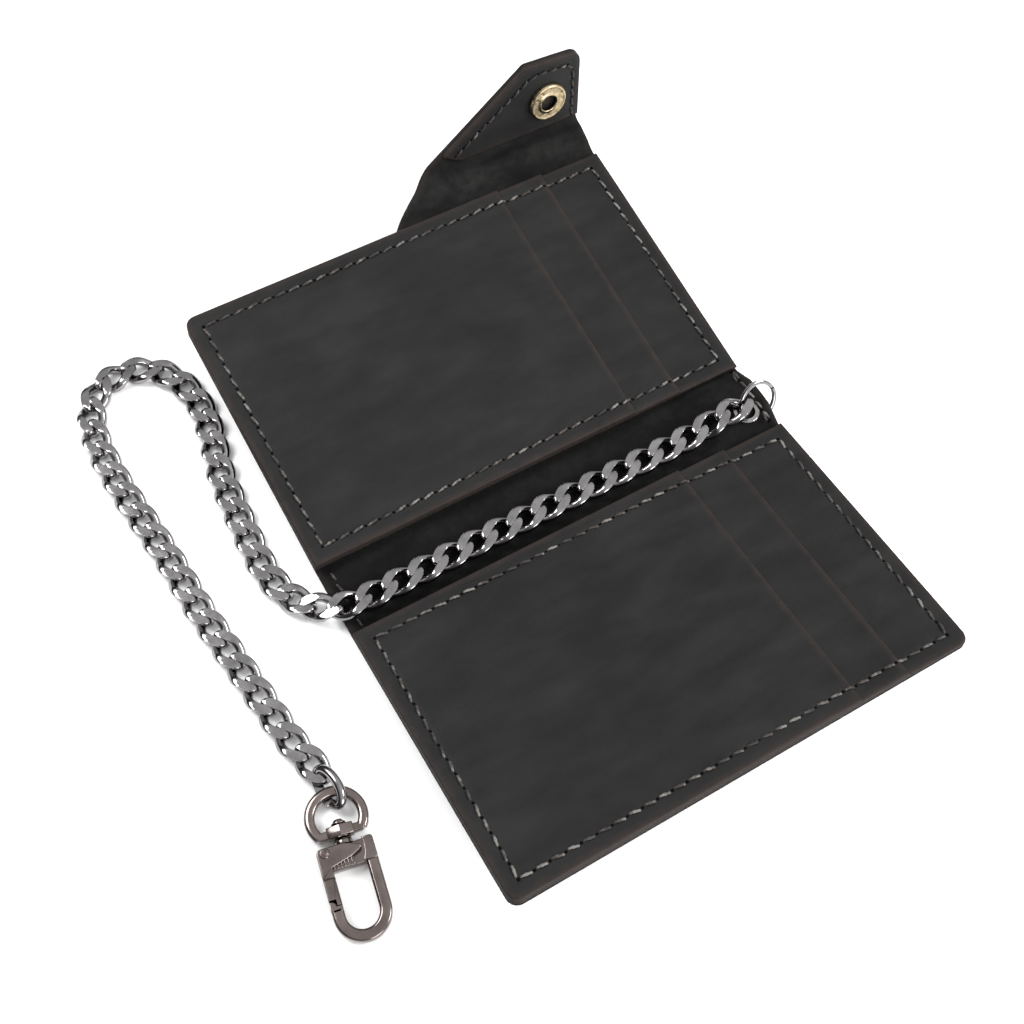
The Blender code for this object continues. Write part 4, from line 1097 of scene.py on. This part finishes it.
def roundRun(pairs, steps=5):
    # rounds the corners of an open profile of (a, b, radius); its two ends stay sharp
    out = [np.array([pairs[0][:2]], float)]
    for k in range(1, len(pairs) - 1):
        here = np.array(pairs[k][:2], float)
        radius = pairs[k][2]
        if radius == 0:
            out.append(here[None])
            continue
        before, after = unit(np.array(pairs[k - 1][:2], float) - here), unit(
            np.array(pairs[k + 1][:2], float) - here,
        )
        t = np.linspace(0, 1, steps)[:, None]
        out.append(
            (here + before * radius) * (1 - t) ** 2 + here * 2 * t * (1 - t) + (here + after * radius) * t**2
        )
    out.append(np.array([pairs[-1][:2]], float))
    return np.vstack(out)


clip = {
    "eye": (-78.5, -42.9, 2.15), "turn": math.radians(-101.5), "eyeRadius": 5.5, "eyeWire": 1.1,
    "bar": (2.4, 4.1), "block": (5.8, 10.6), "side": 5.9, "deep": 2.1, "hookWidth": 2.5, "hookDeep": 1.3,
    "bend": 19.9, "pivot": (7.0, -4.2), "gateEnd": 17.4, "step": 1.0, "reach": 7.65, "gap": 0.3, "ridges": 6,
    "boss": [(0, 2.0), (2.75, 1.15), (2.75, -1.15), (0, -2.0), (-2.75, -1.15), (-2.75, 1.15)],
    # turned profiles as (radius, height, rounding)
    "rivetHead": [
        (0, 0.55, 0), (1.0, 0.60, 0.35), (1.12, 1.25, 0.1), (1.55, 1.28, 0.12), (1.55, 1.66, 0.12),
        (0.5, 1.70, 0),
        (0.5, 4.9, 0), (0, 4.9, 0),
    ],
    "collar": [(0, 4.85, 0), (1.75, 4.85, 0.15), (1.95, 5.3, 0.15), (1.95, 5.95, 0.05), (0, 5.95, 0)],
    "pin": [
        (0, 1.70, 0), (0.30, 1.72, 0.1), (0.52, 2.28, 0.08), (0.92, 2.30, 0.12), (1.08, 2.06, 0.05),
        (0.86, 2.02, 0.0),
        (0.80, 1.62, 0), (0.50, 1.60, 0), (0.50, -2.05, 0), (0, -2.05, 0),
    ],
}


def onClip(points):
    # u along the clip from its eye, v across it, w up
    c, s = math.cos(clip["turn"]), math.sin(clip["turn"])
    x, y, z = clip["eye"]
    return np.stack(
        [
            x + points[..., 0] * c - points[..., 1] * s, y + points[..., 0] * s + points[..., 1] * c,
            z + points[..., 2],
        ],
        -1,
    )


def addFitting(name, shells, material, body, nodes, place=onClip, sharp=35.0):
    piece = joinShells(name, shells, material, place, sharp=sharp)
    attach(piece, body)
    if nodes:
        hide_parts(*nodes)
    return piece


def makeClip():
    radius, side, deep = clip["eyeRadius"], clip["side"], clip["deep"]
    start, end = clip["bar"]
    # eye: a ring of flattened section that runs from one end of its bar to the other
    cut = math.acos(3.2 / radius)
    angle = np.linspace(cut, 2 * np.pi - cut, 72)
    ring = np.stack([radius * np.cos(angle), radius * np.sin(angle), 0 * angle], -1)
    wire = clip["eyeWire"]
    turn = np.linspace(0, 2 * np.pi, 21)[:-1]
    flat = np.stack(
        [
            wire * np.sign(np.cos(turn)) * np.abs(np.cos(turn)) ** 0.75,
            wire * 0.92 * np.sign(np.sin(turn)) * np.abs(np.sin(turn)) ** 0.6,
        ],
        -1,
    )
    half = math.sqrt(radius**2 - start**2) + 0.35
    bar = slabShell(
        roundedOutline(
            [(start, -half, 0.5), (end, -half + 0.5, 0.6), (end, half - 0.5, 0.6), (start, half, 0.5)], 3,
        ),
        -0.98, 0.98, 0.25,
    )
    boss, bossFaces = slabShell(
        roundedOutline([(a, b, 0.18) for a, b in clip["boss"]], 3), 1.9, end + 0.2, 0.22,
    )
    boss = boss[:, [2, 0, 1]]
    washer = turnedShell(
        roundRun([(0, end + 0.15, 0), (1.9, end + 0.15, 0.1), (2.0, end + 0.5, 0.1), (0, end + 0.5, 0)]),
        (0, 0, 0), (1, 0, 0), 40,
    )
    addFitting(
        "eye_ring", [barShell(ring, flat), bar, (boss, bossFaces), washer], clipMetal, "clip_eye",
        ["clip_eye"],
    )

    # rivet: a stepped head inside the eye, its shank, and a collar over the block
    rivet = [
        turnedShell(roundRun(clip["rivetHead"]), (0, 0, 0), (1, 0, 0)),
        turnedShell(roundRun(clip["collar"]), (0, 0, 0), (1, 0, 0), 40),
    ]
    addFitting("clip_swivel", rivet, clipMetal, "hook", ["swivel_rivet"])

    # hook: the block with the gate's seat cut from its top, and the bar bent round to the nose
    blockStart, blockEnd = clip["block"]
    low = slabShell(
        roundedOutline(
            [
                (blockStart, -side, 0.7), (blockEnd, -side, 0.35), (blockEnd, side, 0.35),
                (blockStart, side, 0.7),
            ],
            4,
        ),
        -deep, 0.5, 0.28,
    )
    px, py = clip["pivot"]
    reach = clip["reach"] + clip["gap"]
    first, last = math.acos((blockEnd - px) / reach), math.acos((blockStart - px) / reach)
    sweep = [(px + reach * math.cos(t), py + reach * math.sin(t)) for t in np.linspace(first, last, 14)]
    lowest = 0.05  # keeps the outline's first and last corners off the sweep
    back = [
        (blockStart, sweep[-1][1] + lowest, 0), (blockStart, side, 0.7), (blockEnd, side, 0.35),
        (blockEnd, sweep[0][1] + lowest, 0),
    ]
    raised = slabShell([*sweep, *roundedOutline(back, 4)[1:-1]], 0.2, deep - 0.25, 0.2)
    leg = side - clip["hookWidth"] / 2
    bend = np.linspace(np.pi / 2, -np.pi / 2, 40)
    nose = clip["gateEnd"] + 0.12
    path = np.vstack([
        np.stack([np.linspace(blockEnd - 0.8, clip["bend"], 8)[:-1], np.full(7, leg), np.zeros(7)], -1),
        np.stack([clip["bend"] + leg * np.cos(bend), leg * np.sin(bend), 0 * bend], -1),
        np.stack([np.linspace(clip["bend"], nose + 0.7, 3)[1:], np.full(2, -leg), np.zeros(2)], -1),
    ])
    profile = bevelledBar(clip["hookWidth"] / 2, clip["hookDeep"], 0.55, 3)
    inner = side - clip["hookWidth"]
    tongue = slabShell([
        (nose - clip["step"], -side), (nose + 1.2, -side), (nose + 1.2, -inner), (nose, -inner),
        (nose, -leg - 0.04), (nose - clip["step"], -leg - 0.04),
    ], -clip["hookDeep"], clip["hookDeep"], 0.12)
    addFitting(
        "hook_bar", [low, raised, barShell(path, profile), tongue], clipMetal, "hook", ["hook_body"],
    )

    # gate: its head over the block, a lower ledge with thumb ridges, and the arm down to the nose
    head = roundedOutline([
        (blockStart + 0.1, -side + 0.1, 0.9), (blockEnd + 1.4, -side, 0.15),
        (blockEnd + 1.4, -inner - 0.1, 0.3), (blockEnd - 0.5, -inner, 0.2),
        (9.0, 0.9, 1.0), (8.0, 3.05, 0.8), (7.35, 3.32, 0.3), (6.95, 2.7, 0.5), (6.35, 1.2, 0.5),
        (blockStart + 0.12, -0.3, 0.4),
    ], 5)
    ledge = slabShell(
        [(8.8, -inner - 0.3), (blockEnd - 0.1, -inner - 0.3), (blockEnd - 0.05, 1.2), (8.6, 1.2)], 0.8, 1.15,
        0.1,
    )
    arm = slabShell(roundedOutline([
        (blockEnd + 0.6, -side, 0.1), (clip["gateEnd"] - clip["step"], -side, 0.1),
        (clip["gateEnd"] - clip["step"], -leg + 0.08, 0.05),
        (clip["gateEnd"], -leg + 0.08, 0.05), (clip["gateEnd"], -inner, 0.1), (blockEnd + 0.6, -inner, 0.1),
    ], 3), -clip["hookDeep"], clip["hookDeep"], 0.2)
    ridges = []
    for k in range(clip["ridges"]):
        v = -inner + 0.25 + k * 0.74
        top = 9.7 - 0.16 * k
        ridges.append(
            slabShell(
                roundedOutline(
                    [
                        (top, v, 0.1), (blockEnd - 0.12, v, 0.1), (blockEnd - 0.12, v + 0.36, 0.1),
                        (top, v + 0.36, 0.1),
                    ],
                    2,
                ),
                1.0, 1.95, 0.14,
            ),
        )
    addFitting(
        "gate_lever", [slabShell(head, 0.8, deep, 0.22), ledge, arm, *ridges], clipMetal, "gate", ["gate"],
    )
    pin = turnedShell(roundRun(clip["pin"]), (px, py, 0), (0, 0, 1), 28)
    addFitting("gate_rivet", [pin], clipMetal, "hook", ["gate_pin"])


makeClip()
print("clip done")


def asLaid(points):
    return points


splitRing = {
    "centre": jointPlace("ring_turn") / mm, "axis": (0.0, -0.84805, 0.52992), "radius": 4.76, "thick": 0.50,
    "half": 0.29, "turns": 1.96,
}


def makeSplitRing():
    # two coils of flat wire side by side: a circle that moves along its axis as it goes round
    axis = np.array(splitRing["axis"])
    side = np.array([1.0, 0, 0])
    other = np.cross(axis, side)
    angle = np.linspace(0, 2 * np.pi * splitRing["turns"], 150) + 0.6
    share = np.linspace(-1, 1, 150)
    shift = splitRing["half"] * 1.04 * np.clip(share * 3.2, -1, 1)
    path = (
        splitRing["centre"]
        + splitRing["radius"] * (np.cos(angle)[:, None] * side + np.sin(angle)[:, None] * other)
        + shift[:, None] * axis
    )
    outward = np.cos(angle)[:, None] * side + np.sin(angle)[:, None] * other
    turn = np.linspace(0, 2 * np.pi, 15)[:-1]
    profile = np.stack(
        [
            splitRing["thick"] * np.sign(np.cos(turn)) * np.abs(np.cos(turn)) ** 0.8,
            splitRing["half"] * np.sign(np.sin(turn)) * np.abs(np.sin(turn)) ** 0.8,
        ],
        -1,
    )
    rings = carriedProfile(path, outward, np.broadcast_to(axis, path.shape), profile)
    rows, count = rings.shape[:2]
    faces = cappedFaces(rows, count)
    addFitting(
        "split_ring", [(rings.reshape(-1, 3), faces)], chainMetal, "jump_ring", ["jump_ring"],
        asLaid,
    )


makeSplitRing()


snap = {
    "x": 47.6, "up": 8.9, "around": 144, "strokes": 12, "strokeAt": 3.68, "strokeHalf": 0.42,
    "strokeDeep": 0.24,
    # closed profile of the socket as (radius, height, rounding)
    "profile": [
        (3.2, 0.02, 0), (5.05, 0.02, 0.1), (5.22, 0.75, 0.35), (4.85, 1.46, 0.3), (4.30, 1.34, 0.12),
        (3.05, 1.24, 0.15),
        (2.72, 1.42, 0.12), (2.30, 1.48, 0.12), (2.20, 1.30, 0.05), (2.22, 0.95, 0.05), (3.2, 0.80, 0.05),
        (3.2, 0.02, 0),
    ],
}


def onTip(points):
    # x stays, and the other two are laid out from the tab's second bend
    laid = inFrame("tip", 0 * points[..., 0], points[..., 1] * mm, points[..., 2] * mm) / mm
    return np.stack([points[..., 0], laid[..., 1], laid[..., 2]], -1)


def makeSnap():
    # a rolled rim, a dished face with a ring of short radial strokes pressed in it, and the hole's lip
    facing = 2.4 - tab["bendHeight"]
    centre = np.array([snap["x"], snap["up"], facing])
    run = roundRun(snap["profile"], 6)
    steps = snap["around"]
    angle = 2 * np.pi * np.arange(steps) / steps
    radius, height = run[:, None, 0] + 0 * angle, run[:, None, 1] + 0 * angle
    band = np.exp(-(((radius - snap["strokeAt"]) / snap["strokeHalf"]) ** 4)) * (run[:, None, 1] > 1.0)
    stroke = np.clip(np.cos(angle * snap["strokes"]) * 3.0 - 1.9, 0, 1) * (np.sin(angle * 3 + 0.7) > -0.35)
    height = height - snap["strokeDeep"] * band * stroke
    points = centre + np.stack([radius * np.cos(angle), radius * np.sin(angle), height], -1)
    faces = gridFaces(1, len(run) - 1, steps, closeRows=True, closeColumns=True).tolist()
    addFitting(
        "snap_rim", [(points[:-1].reshape(-1, 3), faces)], snapMetal, "tab_tip", ["snap_socket"],
        onTip, 50.0,
    )


makeSnap()


def paint(names, material):
    for name in names:
        node = frame["nodes"][name]
        node.data.materials.clear()
        node.data.materials.append(material)
        node.data.polygons.foreach_set("material_index", np.zeros(len(node.data.polygons), np.int32))


paint(("snap_cap", "snap_stud", "snap_post"), snapMetal)


def darkenBarrel():
    # painted shade: the cap's barrel, deep in the socket's hole, is painted darker than its face
    cap = frame["nodes"]["snap_cap"]
    cap.data.materials.append(shadedMetal)
    place, angle = hingeFrames["tip"]
    centres = np.empty(len(cap.data.polygons) * 3, np.float32)
    cap.data.polygons.foreach_get("center", centres)
    world = centres.reshape(-1, 3) @ np.array(cap.matrix_world.to_3x3()).T + np.array(
        cap.matrix_world.translation
    )
    height = -(world[:, 1] - place[1]) * math.sin(angle) + (world[:, 2] - place[2]) * math.cos(angle)
    cap.data.polygons.foreach_set("material_index", (height > -0.0015).astype(np.int32))


darkenBarrel()
# the springs, inside the socket and the clip, take the same painted-shade metal
paint(("snap_spring", "gate_spring"), shadedMetal)
paint(("eyelet", "eyelet_washer"), chainMetal)
print("fittings done")
